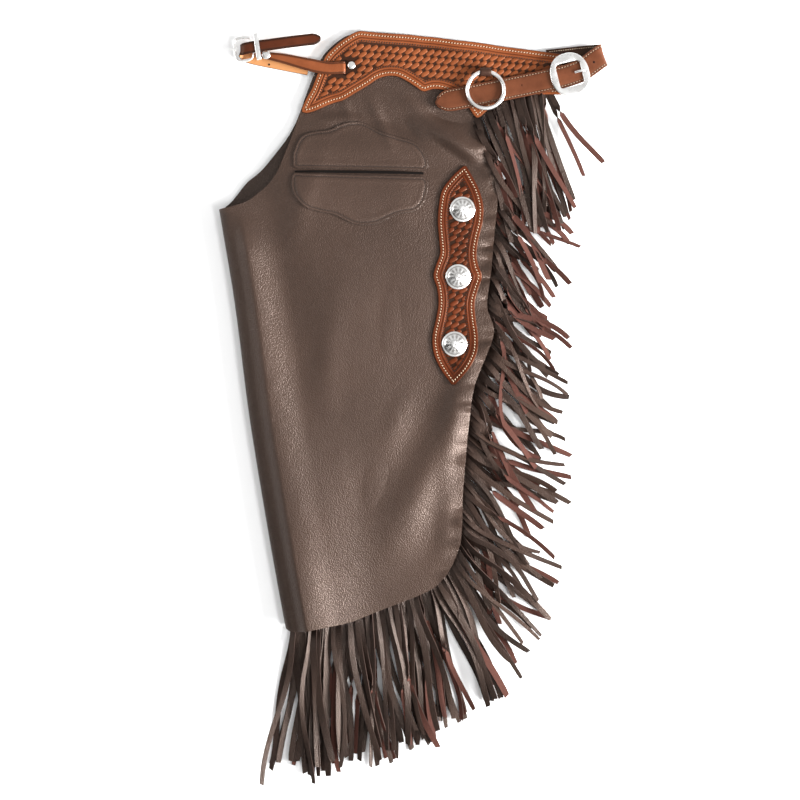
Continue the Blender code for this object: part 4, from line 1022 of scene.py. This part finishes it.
def tooled_relief(x, y, away):
    """Groove near the edge, thread trough, and the sunk field of the stamping."""
    groove = -0.7 * np.exp(-((away - GROOVE_IN) / 0.9) ** 2)
    trough = -0.3 * np.exp(-((away - THREAD_IN) / 1.1) ** 2)
    bevel = 0.25 * np.exp(-((away - 11.2) / 1.0) ** 2)
    field = -FIELD_DEPTH * smooth((away - FIELD_IN + 0.6) / 1.0)
    return groove + trough + bevel + field


def basketweave(outline, under, row_turn, keep=None):
    """Rows of slanted loaves that stand up in the field, half a loaf over from row to row."""
    low = outline.min(0) - 20.0
    high = outline.max(0) + 20.0
    turn = math.radians(row_turn)
    ahead = np.array([math.cos(turn), math.sin(turn)])
    aside = np.array([-math.sin(turn), math.cos(turn)])
    centre = 0.5 * (low + high)
    reach = float(np.linalg.norm(high - low))
    spots = []
    for r in range(-int(reach / LOAF_ROW / 2), int(reach / LOAF_ROW / 2)):
        for c in range(-int(reach / LOAF_PITCH / 2), int(reach / LOAF_PITCH / 2)):
            spots.append(centre + ahead * (c + 0.5 * (r % 2)) * LOAF_PITCH + aside * r * LOAF_ROW)
    spots = np.array(spots)
    inside = (spots > low).all(1) & (spots < high).all(1)
    spots = spots[inside]
    away = edge_distance(spots[:, 0], spots[:, 1], outline)
    crossing = np.zeros(len(spots), bool)
    for a, b in zip(outline, np.roll(outline, -1, 0)):
        spans = (a[1] > spots[:, 1]) != (b[1] > spots[:, 1])
        if spans.any():
            at = a[0] + (spots[:, 1] - a[1]) / (b[1] - a[1] + 1e-12) * (b[0] - a[0])
            crossing ^= spans & (spots[:, 0] < at)
    spots = spots[crossing & (away > FIELD_IN + 1.2)]
    if keep is not None:
        spots = spots[keep(spots[:, 0], spots[:, 1])]
    slant = turn + math.radians(LOAF_TURN)
    us = np.array([-1.0, -0.93, -0.72, -0.36, 0.0, 0.36, 0.72, 0.93, 1.0])
    vs = np.array([-1.0, -0.82, -0.42, 0.0, 0.42, 0.82, 1.0])
    shape = []
    for u in us:
        for v in vs:
            narrow = (1.0 - abs(u) ** 4.0) ** 0.5 if abs(u) < 1.0 else 0.22
            side = v * max(narrow, 0.22) * LOAF_WIDE / 2.0
            rise = (1.0 - u ** 4) * (1.0 - v ** 4)
            shape.append((u * LOAF_LONG / 2.0, side, rise, u, v))
    shape = np.array(shape)
    x = spots[:, :1] + shape[:, 0] * math.cos(slant) - shape[:, 1] * math.sin(slant)
    y = spots[:, 1:] + shape[:, 0] * math.sin(slant) + shape[:, 1] * math.cos(slant)
    away = edge_distance(x, y, outline).reshape(x.shape)
    rise = shape[:, 2] * smooth((away - FIELD_IN - 1.6) / 0.8)
    z = under(x, y) + TOOLED - FIELD_DEPTH - 0.25 + 1.15 * rise ** 0.6
    wiped = np.clip(rise ** 0.35 * 1.25 - 0.1, 0.0, 1.0)
    points = np.stack([x, y, z], 2).reshape(-1, 3)
    one = grid_faces(len(us), len(vs))
    faces = [tuple(v + len(shape) * n for v in f) for n in range(len(spots)) for f in one]
    return points, faces, wiped.ravel()


cream_thread = two_toned("cream thread", 0.6, 0.35, "TexWave", 1100.0, (0.34, 0.24, 0.155), (0.50, 0.39, 0.28),
                         Distortion=1.0)
antique = two_toned("antique in the marks", 0.5, 0.3, "TexNoise", 120.0, (0.010, 0.005, 0.0035),
                    (0.030, 0.012, 0.007), Detail=3.0)
yoke_leather = tooled_finish("tooled russet", (0.136, 0.0355, 0.0115), (0.186, 0.052, 0.0180),
                             (0.016, 0.0065, 0.0040))
plate_leather = tooled_finish("tooled chestnut", (0.052, 0.0105, 0.0035), (0.078, 0.0165, 0.0054),
                              (0.009, 0.0040, 0.0026))


def tooled_piece(name, cad_node, table, under, step, leather, turned=False, row_turn=0.0, hole=None, keep=None):
    """A stamped panel with its loaves, its border ticks and its stitching."""
    outline = outline_of(table, turned)
    points, faces, away = laid(table, under, TOOLED, step, tooled_relief, turned, hole)
    wiped = 1.0 - smooth((away - FIELD_IN - 1.8) / 0.7)
    weave, weave_faces, weave_wiped = basketweave(outline, under, row_turn, keep)
    count = len(points)
    faces = faces + [tuple(v + count for v in f) for f in weave_faces]
    away = np.r_[away, np.full(len(weave), 20.0)]
    wiped = np.r_[wiped, weave_wiped]
    panel = piece(name, np.concatenate([points, weave]), faces, [leather], "tooled", [cad_node],
                  marks={"edge": away, "wiped": wiped}, sharp=60.0)

    def thread_height(x, y):
        return under(x, y) + TOOLED - 0.05

    def tick_height(x, y):
        return under(x, y) + TOOLED - FIELD_DEPTH + 0.1

    sewing = stitches(inset_line(outline, THREAD_IN), thread_height, 4.1, 2.5, 0.68, 34.0)
    border = stitches(inset_line(outline, FIELD_IN + 0.7), tick_height, 3.6, 2.9, 0.75, 62.0)
    return [panel, piece(name + "_thread", *sewing, [cream_thread], "tooled"),
            piece(name + "_border_ticks", *border, [antique], "tooled")]


def clear_of_slot(x, y):
    return ~((x > -112.0) & (x < -92.0) & (y > 470.0) & (y < 492.0)) & (np.hypot(x + 87.0, y - 484.5) > 8.0)


sewn_on += tooled_piece("yoke", "yoke_top", YOKE, on_leg, 1.5, yoke_leather, row_turn=ROW_TURN,
                        hole=(-98.6, -94.6, 470.5, 491.5), keep=clear_of_slot)
# The right leg's yoke lies face down beneath, so its plain flesh side is what shows.
under_yoke = [(x, low + 14.0, high - 9.0) for x, low, high in YOKE[2:-1]]
points, faces, away = laid(under_yoke, lambda x, y: 0.0 * x, TOOLED, 4.0)
yoke_flesh = two_toned("yoke flesh side", 0.8, 0.25, "TexNoise", 300.0, (0.24, 0.12, 0.055), (0.36, 0.20, 0.10),
                       0.0004, Detail=5.0, Roughness=0.7)
piece("right_yoke", points, faces, [yoke_flesh], "tooled", ["yoke_under"])


# Concho plate and conchos
# A long plate of the same stamped leather is sewn beside the seam. Three
# domed silver conchos are screwed to it. Each has a milled rim and cut petals.
PLATE = (
    # y, left x, right x
    (343.0, 70.0, 74.0), (329.0, 55.0, 82.0), (309.0, 40.0, 92.0), (286.0, 35.0, 98.0),
    (264.0, 33.5, 97.0), (239.0, 35.5, 91.0), (219.0, 36.5, 88.5), (203.0, 31.0, 91.0),
    (188.0, 27.5, 96.0), (171.0, 32.5, 91.0), (151.0, 34.5, 86.0), (130.0, 31.5, 87.0),
    (103.0, 26.0, 90.5), (80.0, 28.0, 88.5), (59.0, 37.0, 78.0), (36.0, 53.0, 58.0),
)
CONCHOS = (
    # x, y
    (68.5, 281.5), (62.5, 187.0), (57.5, 93.0),
)
CONCHO_RADIUS = 17.5
CONCHO_HEIGHT = 6.0
CONCHO_PETALS = 12


def clear_of_conchos(x, y):
    return np.all([np.hypot(x - a, y - b) > 13.0 for a, b in CONCHOS], 0)


sewn_on += tooled_piece("plate", "concho_plate", PLATE[::-1], on_leg, 1.4, plate_leather, turned=True,
                        row_turn=-8.0, keep=clear_of_conchos)

silver, tree, shader, place = finish("polished silver", 0.16, 0.5, 1.0)
haze = node(tree, "TexNoise", Vector=place, Scale=60.0, Detail=4.0)
scratches = node(tree, "TexNoise", Vector=place, Scale=1400.0, Detail=2.0)
colour = mixed(tree, ranged(tree, haze.outputs[0], 0.35, 0.65), (0.90, 0.885, 0.86), (0.96, 0.955, 0.94))
tone = mark(tree, "tone")
tree.links.new(mixed(tree, tone, colour, (0.090, 0.066, 0.050)), shader.inputs["Base Color"])
tree.links.new(ranged(tree, haze.outputs[0], 0.3, 0.7, 0.20, 0.34), shader.inputs["Roughness"])
bumped(tree, shader, scratches.outputs[0], 0.00003)


def dome(centre, radius, height, under, rings, around=96, cut=None):
    """A domed button with a flat back, that follows what it is set on."""
    points = []
    for share, level in rings:
        a = np.linspace(0, 2 * math.pi, around + 1)[:-1]
        x = centre[0] + radius * share * np.cos(a)
        y = centre[1] + radius * share * np.sin(a)
        z = under(x, y) + height * level
        if cut is not None:
            z = z + cut(share, a)
        points.append(np.stack([x, y, z], 1))
    return np.concatenate(points), capped_faces(len(rings), around)


def concho_cut(share, a):
    """Milled rim, a ring of petals and a small flower in the middle."""
    milled = 0.28 * np.cos(44 * a) * math.exp(-((share - 0.93) / 0.05) ** 2)
    petals = 0.40 * np.abs(np.sin(a * CONCHO_PETALS / 2)) * math.exp(-((share - 0.55) / 0.2) ** 2)
    flower = 0.34 * np.abs(np.cos(a * 4)) * math.exp(-((share - 0.2) / 0.1) ** 2)
    line = -0.2 * math.exp(-((share - 0.82) / 0.025) ** 2)
    return milled - petals + flower + line


CONCHO_RINGS = [
    # share of the radius, share of the height
    (0.92, 0.0), (1.0, 0.06), (1.0, 0.14), (0.97, 0.2), (0.93, 0.22), (0.89, 0.24), (0.86, 0.28),
]
for share in (0.84, 0.82, 0.80, 0.74, 0.68, 0.62, 0.56, 0.5, 0.44, 0.38, 0.32, 0.26, 0.2, 0.14, 0.09, 0.04):
    CONCHO_RINGS.append((share, 0.28 + 0.72 * math.cos(0.5 * math.pi * share / 0.86) ** 0.85))
for n, centre in enumerate(CONCHOS):
    points, faces = dome(centre, CONCHO_RADIUS, CONCHO_HEIGHT, lambda x, y: on_leg(x, y) + TOOLED, CONCHO_RINGS,
                         cut=concho_cut)
    share = np.hypot(points[:, 0] - centre[0], points[:, 1] - centre[1]) / CONCHO_RADIUS
    a = np.arctan2(points[:, 1] - centre[1], points[:, 0] - centre[0])
    darkened = 0.70 * np.sin(a * CONCHO_PETALS / 2) ** 2 * np.exp(-((share - 0.58) / 0.17) ** 2)
    darkened += 0.60 * np.exp(-((share - 0.82) / 0.04) ** 2) + 0.35 * np.exp(-((share - 0.3) / 0.05) ** 2)
    piece("concho_face_%d" % (n + 1), points, faces, [silver], "silver", ["concho_%d" % (n + 1)],
          marks={"tone": np.clip(darkened, 0.0, 1.0)}, sharp=50.0)


# Front strap and billet
# A small russet strap comes up through the yoke's slot and carries the
# front buckle. The right side's billet turns back through the buckle, with
# its light flesh side showing where it runs under the strap.
FRONT_STRAP_THICK = 2.4
FRONT_STRAP = (
    # x, y, centre z, direction of the width in degrees, width
    (-96.6, 480.8, 9.4, 92.0, 17.5), (-96.6, 480.8, 12.1, 92.0, 17.5), (-98.3, 480.8, 13.9, 92.0, 17.5),
    (-103.0, 480.8, 14.0, 91.0, 17.5), (-120.0, 480.3, 13.7, 88.0, 17.5), (-142.0, 484.2, 13.2, 78.0, 18.0),
    (-180.0, 493.5, 12.0, 76.0, 14.0), (-200.0, 497.3, 11.3, 77.0, 11.0), (-214.0, 500.5, 10.9, 77.0, 11.0),
    (-222.0, 502.3, 10.8, 77.0, 11.0),
)
BILLET_THICK = 2.2
BILLET = (
    # x, y, centre z, direction of the width in degrees, width
    (-148.0, 479.0, 4.6, 78.0, 15.0), (-190.0, 487.5, 4.5, 78.0, 16.0), (-226.0, 495.0, 4.4, 78.5, 16.0),
    (-237.0, 500.0, 5.4, 81.0, 16.0), (-242.0, 504.5, 9.8, 85.0, 16.0), (-238.5, 507.0, 14.2, 89.0, 16.0),
    (-230.0, 508.8, 15.8, 92.0, 16.5), (-222.0, 510.0, 15.8, 96.0, 16.5), (-180.0, 515.8, 16.0, 97.5, 17.5),
    (-148.0, 519.8, 16.0, 97.0, 18.5), (-137.0, 521.0, 16.0, 97.0, 14.0), (-130.0, 521.8, 16.0, 97.0, 6.0),
)


def route(table, per=8):
    """Centres, width directions and widths along a strap's route, smoothly filled in."""
    rows = [(float(n),) + tuple(row) for n, row in enumerate(table)]
    t = np.linspace(0.0, len(table) - 1.0, (len(table) - 1) * per + 1)
    return [read(rows, t, c) for c in range(1, 6)]


def strap(table, thick, per=8, round_tip=0, hand=1.0):
    """A strap of leather with rounded edges; marks give the distance from its edge and its side."""
    x, y, z, turn, width = route(table, per)
    centre = np.stack([x, y, z], 1)
    along = np.gradient(centre, axis=0)
    along /= np.linalg.norm(along, axis=1)[:, None]
    across = np.stack([np.cos(np.radians(turn)), np.sin(np.radians(turn)), 0.0 * turn], 1)
    across -= along * (across * along).sum(1)[:, None]
    across *= hand / np.linalg.norm(across, axis=1)[:, None]
    up = np.cross(along, across)
    if round_tip:
        end = np.arange(len(x))[::-1] if round_tip > 0 else np.arange(len(x))
        run = np.r_[0.0, np.cumsum(np.linalg.norm(np.diff(centre, axis=0), axis=1))]
        left = (run[-1] - run) if round_tip > 0 else run
        full = width.max() if round_tip < 0 else width[end[len(end) // 2]]
        t = np.clip(left / (0.5 * full), 0.0, 1.0)
        width = np.minimum(width, full * np.sqrt(np.clip(1.0 - (1.0 - t) ** 2, 0.02, 1.0)))
    # Across: a rounded edge, then a crease line, then a faintly crowned middle.
    section = [(-1.0, 0.0), (-1.0, 0.28), (-0.985, 0.41), (-0.95, 0.48), (-0.86, 0.5), (-0.82, 0.42), (-0.78, 0.5),
               (-0.45, 0.54), (0.0, 0.56), (0.45, 0.54), (0.78, 0.5), (0.82, 0.42), (0.86, 0.5), (0.95, 0.48),
               (0.985, 0.41), (1.0, 0.28), (1.0, 0.0), (1.0, -0.28), (0.96, -0.46), (0.5, -0.5), (0.0, -0.5),
               (-0.5, -0.5), (-0.96, -0.46), (-1.0, -0.28)]
    points = []
    away = []
    for s, h in section:
        points.append(centre + across * (s * width / 2.0)[:, None] + up * (h * thick))
        away.append((1.0 - abs(s)) * width / 2.0)
    points = np.stack(points, 1).reshape(-1, 3)
    away = np.stack(away, 1).ravel()
    side = np.tile(np.array([h for _, h in section]), len(x))
    marks = {"edge": away, "side": side}
    return points, capped_faces(len(x), len(section)), marks, (centre, across, up, width)


def strap_finish(name, dark, light, lining, edge_colour, rough=0.34, seam_at=1.9):
    """Smooth strap leather: dyed edges, a burnished line near them, plain lining underneath."""
    made, tree, shader, place = finish(name, rough, 0.34, sheen=(1.0, 0.66, 0.48, 1.0))
    edge = mark(tree, "edge")
    side = mark(tree, "side")
    cloud = node(tree, "TexNoise", Vector=place, Scale=30.0, Detail=5.0, Roughness=0.62)
    pores = node(tree, "TexNoise", Vector=place, Scale=1300.0, Detail=3.0)
    colour = mixed(tree, ranged(tree, cloud.outputs[0], 0.3, 0.7), dark, light)
    crease_line = ranged(tree, maths(tree, "ABSOLUTE", maths(tree, "SUBTRACT", edge, seam_at)), 1.9, 0.7)
    colour = mixed(tree, maths(tree, "MULTIPLY", crease_line, 0.75), colour, edge_colour)
    colour = mixed(tree, ranged(tree, side, -0.30, -0.42), colour, lining)
    colour = mixed(tree, ranged(tree, edge, 0.7, 0.15), colour, edge_colour)
    tree.links.new(colour, shader.inputs["Base Color"])
    tree.links.new(ranged(tree, pores.outputs[0], 0.2, 0.8, rough - 0.06, rough + 0.12), shader.inputs["Roughness"])
    bumped(tree, shader, pores.outputs[0], 0.0002)
    return made


russet_strap = strap_finish("russet strap", (0.145, 0.038, 0.0125), (0.200, 0.056, 0.020), (0.30, 0.15, 0.07),
                            (0.022, 0.007, 0.004))
billet_brown = strap_finish("billet brown", (0.042, 0.0085, 0.0030), (0.066, 0.014, 0.0050), (0.42, 0.19, 0.075),
                            (0.006, 0.0032, 0.0025))
points, faces, marks, place = strap(FRONT_STRAP, FRONT_STRAP_THICK, hand=-1.0)
piece("front_strap_leather", points, faces, [russet_strap], "tooled", ["front_strap"], marks=marks)
points, faces, marks, place = strap(BILLET, BILLET_THICK, round_tip=1)
piece("billet_leather", points, faces, [billet_brown], "billet_leather", ["front_billet"], marks=marks)


# Belt and its short strap
# The belt is sewn double: tan outside, dark brown inside, stitched along
# both edges in tan thread. It doubles back at the hip, passes through the
# buckle, and ends in a rounded tip on the yoke, with punched holes.
BELT_THICK = 3.0
BELT_THREAD_IN = 3.2
BELT = (
    # x, y, centre z, direction of the width in degrees, width
    (31.0, 431.5, 13.3, 98.0, 4.0), (35.0, 432.0, 13.3, 98.0, 16.0), (42.0, 433.5, 13.3, 99.0, 26.5),
    (52.0, 435.5, 13.3, 100.0, 31.5), (76.0, 440.0, 13.3, 100.5, 31.5), (134.0, 451.7, 13.3, 102.0, 31.5),
    (165.0, 458.0, 14.2, 102.5, 31.5), (190.0, 463.0, 16.6, 104.0, 31.5), (205.0, 466.3, 17.0, 107.0, 31.5),
    (219.0, 470.3, 17.0, 112.0, 31.5), (233.0, 475.5, 17.0, 119.0, 31.5), (244.5, 482.8, 17.0, 123.0, 31.5),
    (255.5, 491.0, 17.0, 121.0, 31.5), (262.5, 496.0, 15.6, 115.0, 31.5), (265.7, 498.5, 11.2, 110.0, 31.5),
    (262.0, 499.0, 6.6, 104.0, 31.5), (253.0, 498.3, 5.1, 99.0, 31.5), (225.0, 495.5, 5.0, 96.0, 31.5),
    (188.0, 491.5, 5.0, 96.0, 31.5),
)
BELT_HOLES = (
    # x, y
    (152.9, 456.2), (252.7, 487.9),
)
BILLET_HOLE = (-203.0, 486.5)
HOLE_RINGS = ((1.0, 0.0), (0.92, 1.0), (0.3, 0.9))
CHAPE = (
    # x, y, centre z, direction of the width in degrees, width
    (188.0, 462.5, 6.6, 104.0, 18.0), (200.0, 464.5, 6.6, 104.0, 18.0), (213.0, 466.2, 6.8, 104.0, 16.0),
)
belt_tan = strap_finish("belt tan", (0.064, 0.0186, 0.0080), (0.102, 0.0310, 0.0136), (0.016, 0.0065, 0.0045),
                        (0.024, 0.008, 0.0045), seam_at=BELT_THREAD_IN)
tan_thread = two_toned("tan thread", 0.6, 0.35, "TexWave", 1000.0, (0.20, 0.115, 0.070), (0.36, 0.25, 0.17),
                       Distortion=1.0)
points, faces, marks, belt_place = strap(BELT, BELT_THICK)
piece("belt_leather", points, faces, [belt_tan], "belt_leather", ["belt_strap"], marks=marks)


def strap_stitches(place, inset, thick, face, pitch=3.2, length=2.4, fat=0.5, first=0.0):
    """Stitches along both edges of a strap, on its upper (1) or lower (-1) face."""
    centre, across, up, width = place
    parts = []
    for hand in (-1.0, 1.0):
        line = centre + across * (hand * (width / 2.0 - inset))[:, None] + up * (face * 0.5 * thick)
        gone = np.r_[0.0, np.cumsum(np.linalg.norm(np.diff(line, axis=0), axis=1))]
        for at in np.arange(first + pitch, gone[-1] - pitch, pitch):
            here = np.array([np.interp(at, gone, line[:, c]) for c in range(3)])
            lift = np.array([np.interp(at, gone, up[:, c]) for c in range(3)])
            ahead = np.array([np.interp(at + 1.0, gone, line[:, c]) for c in range(3)]) - here
            ahead /= np.linalg.norm(ahead) + 1e-9
            aside = np.cross(lift, ahead)
            turned = np.stack([ahead * length, aside * fat, lift * fat])
            parts.append((here + STITCH @ turned, STITCH_FACES))
    return joined(parts)


sewing = strap_stitches(belt_place, BELT_THREAD_IN, BELT_THICK * 1.06, 1.0, pitch=4.2, length=2.3, fat=0.6, first=8.0)
piece("belt_thread", *sewing, [tan_thread], "belt_leather")
back_run = tuple(part[-30:] for part in belt_place)
sewing = strap_stitches(back_run, BELT_THREAD_IN, BELT_THICK, -1.0)
piece("belt_lining_thread", *sewing, [cream_thread], "belt_leather")
# Painted shade: each punched hole is a thin near-black disc on the strap, standing for the shade inside the hole.
hole_shade, tree, shader, place = finish("punched hole", 0.9, 0.1)
shader.inputs["Base Color"].default_value = (0.010, 0.006, 0.005, 1.0)
centre, across, up, width = belt_place
punched = []
for x, y in BELT_HOLES:
    near = np.argmin(np.hypot(centre[:, 0] - x, centre[:, 1] - y) + 10.0 * (up[:, 2] < 0))
    punched.append((x, y, 1.7, centre[near, 2] + BELT_THICK * 0.56 - 0.06))
punched.append((*BILLET_HOLE, 1.5, 5.7))
parts = [dome((x, y), radius, 0.1, lambda x, y, level=level: 0.0 * x + level, HOLE_RINGS, 24)
         for x, y, radius, level in punched]
piece("punched_holes", *joined(parts), [hole_shade], "belt_leather")
points, faces, marks, _ = strap(CHAPE, 2.4)
piece("chape_leather", points, faces, [belt_tan], "belt_leather", ["belt_chape"], marks=marks)


# Buckles, tongues and keeper
# All are cast in white metal and polished. The belt buckle's frame stands
# over the strap, with its heel bar below. Each tongue lies across the far side.
BUCKLE_CENTRE = (219.0, 470.5)
BUCKLE_TURN = 14.0
BUCKLE_HALF = (27.5, 30.5)
WINDOW_HALF = (17.2, 17.0)
FRONT_BUCKLE_CENTRE = (-238.5, 507.5)
FRONT_BUCKLE_TURN = 8.0


def rounded_frame(half, power, count=96):
    a = 2.0 * math.pi * (np.arange(count) + 0.5) / count
    c, s = np.cos(a), np.sin(a)
    return np.stack([half[0] * np.sign(c) * abs(c) ** (2.0 / power),
                     half[1] * np.sign(s) * abs(s) ** (2.0 / power)], 1)


def turned_to(points, centre, turn):
    c, s = math.cos(math.radians(turn)), math.sin(math.radians(turn))
    points = np.asarray(points, float)
    return np.stack([centre[0] + points[:, 0] * c - points[:, 1] * s,
                     centre[1] + points[:, 0] * s + points[:, 1] * c, points[:, 2]], 1)


def metal_frame(outline, window, low, high, centre, turn):
    """A cast frame with a domed face between its outline and its window."""
    section = 16
    points = []
    for k in range(section):
        a = 2.0 * math.pi * k / section
        c, s = math.cos(a), math.sin(a)
        share = 0.5 + 0.5 * math.copysign(abs(c) ** 0.55, c)
        level = 0.5 + 0.5 * math.copysign(abs(s) ** 0.7, s)
        ring = window + (outline - window) * share
        points.append(np.c_[ring, np.full(len(ring), low + (high - low) * level)])
    return turned_to(np.concatenate(points), centre, turn), ring_faces(section, len(outline), True)


def metal_bar(path, radii, sides=14):
    """A rod through points, with a radius across and one up at each."""
    path = np.asarray(path, float)
    along = np.gradient(path, axis=0)
    along /= np.linalg.norm(along, axis=1)[:, None]
    points = []
    for p, d, (wide, tall) in zip(path, along, radii):
        across = np.array([-d[1], d[0], 0.0])
        across /= np.linalg.norm(across) + 1e-9 if np.linalg.norm(across) > 1e-6 else 1.0
        if np.linalg.norm(across) < 0.5:
            across = np.array([1.0, 0.0, 0.0])
        up = np.cross(d, across)
        for k in range(sides):
            a = 2.0 * math.pi * k / sides
            points.append(p + across * wide * math.cos(a) + up * tall * math.sin(a))
    return np.array(points), capped_faces(len(path), sides)


parts = [metal_frame(rounded_frame(BUCKLE_HALF, 2.2), rounded_frame(WINDOW_HALF, 9.0), 18.7, 21.7,
                     BUCKLE_CENTRE, BUCKLE_TURN)]
bar_x = -WINDOW_HALF[0] - 1.0
side = BELT[-1][-1] / 2.0 + 3.4
bar, faces = metal_bar([(bar_x, -side, 19.8), (bar_x, -side, 14.0), (bar_x, -side + 1.2, 13.4),
                        (bar_x, side - 1.2, 13.4), (bar_x, side, 14.0), (bar_x, side, 19.8)], [(1.4, 1.4)] * 6)
parts.append((turned_to(bar, BUCKLE_CENTRE, BUCKLE_TURN), faces))
piece("buckle_frame", *joined(parts), [silver], "silver", ["belt_buckle"], sharp=50.0)
points, faces = metal_bar([(226.0, 473.4, 20.0), (230.0, 474.3, 21.6), (233.0, 475.0, 22.8), (237.0, 475.9, 23.0),
                           (240.3, 476.7, 22.8), (240.9, 476.8, 22.6)],
                          [(1.7, 1.0), (1.7, 1.0), (1.6, 1.0), (1.4, 1.0), (1.0, 0.8), (0.4, 0.4)])
piece("buckle_prong", points, faces, [silver], "silver", ["belt_tongue"], sharp=60.0)
points, faces = metal_frame(rounded_frame((14.2, 18.0), 3.2), rounded_frame((10.8, 14.2), 6.0), 8.5, 11.8,
                            FRONT_BUCKLE_CENTRE, FRONT_BUCKLE_TURN)
piece("front_buckle_frame", points, faces, [silver], "silver", ["front_buckle"], sharp=50.0)
points, faces = metal_bar([(-246.6, 508.0, 13.0), (-250.0, 507.6, 13.2), (-254.0, 507.1, 13.1), (-257.5, 506.8, 12.9),
                           (-259.2, 506.6, 12.7)], [(1.5, 1.0), (1.5, 1.0), (1.3, 1.0), (1.0, 0.8), (0.4, 0.4)])
piece("front_prong", points, faces, [silver], "silver", ["front_tongue"], sharp=60.0)
KEEPER_PLACE = (-219.0, 510.5)
KEEPER_HALF = np.array([19.0, 5.4])
KEEPER_MIDDLE = np.array([0.0, 13.6])
a = np.linspace(0.0, 2.0 * math.pi, 65)[:-1]
outside = np.stack([np.sign(f) * abs(f) ** 0.28 for f in (np.cos(a), np.sin(a))], 1)
points = []
for x, grow in ((-2.4, 0.0), (-3.2, -0.35), (-2.8, -0.75), (2.8, -0.75), (3.2, -0.35), (2.4, 0.0)):
    ring = KEEPER_MIDDLE + outside * (KEEPER_HALF + grow)
    points.append(np.c_[np.full(len(ring), x), ring])
piece("keeper_loop", turned_to(np.concatenate(points), KEEPER_PLACE, FRONT_BUCKLE_TURN),
      ring_faces(len(points), len(a), True), [silver], "silver", ["front_keeper"], sharp=50.0)


# Rivets
# Domed nickel rivet caps hold the front strap to its buckle end and to the yoke.
RIVET_HEIGHT = 2.1
RIVET_RINGS = (
    # share of the radius, share of the height
    (0.94, 0.0), (1.0, 0.12), (0.99, 0.3), (0.94, 0.46), (0.82, 0.68), (0.64, 0.85), (0.4, 0.96), (0.15, 1.0),
)
for where, place, radius in (("strap", (-207.0, 499.0), 6.0), ("yoke", (-87.0, 484.5), 5.4)):
    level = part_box("rivet_" + where)[0][2] / MM
    points, faces = dome(place, radius, RIVET_HEIGHT, lambda x, y: 0.0 * x + level, RIVET_RINGS, 48)
    piece("rivet_cap_" + where, points, faces, [silver], "silver", ["rivet_" + where], sharp=50.0)


# Rope ring and its loop
# A welded round ring of plated wire hangs in a short loop of dark strap
# leather, which is sewn down to the yoke behind the belt.
RING_CENTRE = (101.0, 449.0)
RING_RADIUS = 25.7
RING_WIRE = 2.85
RING_Z = 17.95
LOOP_WIDTH = 16.0
LOOP_WALL = 1.3
LOOP_CLEAR = 1.7
around = 128
section = 20
a = 2.0 * math.pi * np.arange(around) / around
b = 2.0 * math.pi * np.arange(section) / section
r = RING_RADIUS + RING_WIRE * np.cos(b)[None, :]
points = np.stack([RING_CENTRE[0] + r * np.cos(a)[:, None], RING_CENTRE[1] + r * np.sin(a)[:, None],
                   RING_Z + RING_WIRE * np.sin(b)[None, :] + 0.0 * a[:, None]], 2).reshape(-1, 3)
piece("rope_ring", points, ring_faces(around, section, True), [silver], "silver", ["ring"], body="ring", sharp=60.0)

loop_y = RING_CENTRE[1] + RING_RADIUS
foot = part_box("ring_loop")[0][2] / MM
middle = RING_WIRE + LOOP_CLEAR + LOOP_WALL / 2.0
LOOP = [(RING_CENTRE[0], loop_y - middle, foot, 0.0, LOOP_WIDTH)]
for k in range(9):
    a = math.pi * (1.0 - k / 8.0)
    LOOP.append((RING_CENTRE[0], loop_y + middle * math.cos(a), RING_Z + middle * math.sin(a), 0.0, LOOP_WIDTH))
LOOP.append((RING_CENTRE[0], loop_y + middle, foot, 0.0, LOOP_WIDTH))
loop_leather = strap_finish("loop leather", (0.026, 0.011, 0.0075), (0.044, 0.019, 0.012), (0.03, 0.014, 0.010),
                            (0.008, 0.005, 0.004))
points, faces, marks, _ = strap(LOOP, LOOP_WALL, per=3)
piece("ring_loop_leather", points, faces, [loop_leather], "billet_leather", ["ring_loop"], marks=marks)


low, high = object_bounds()
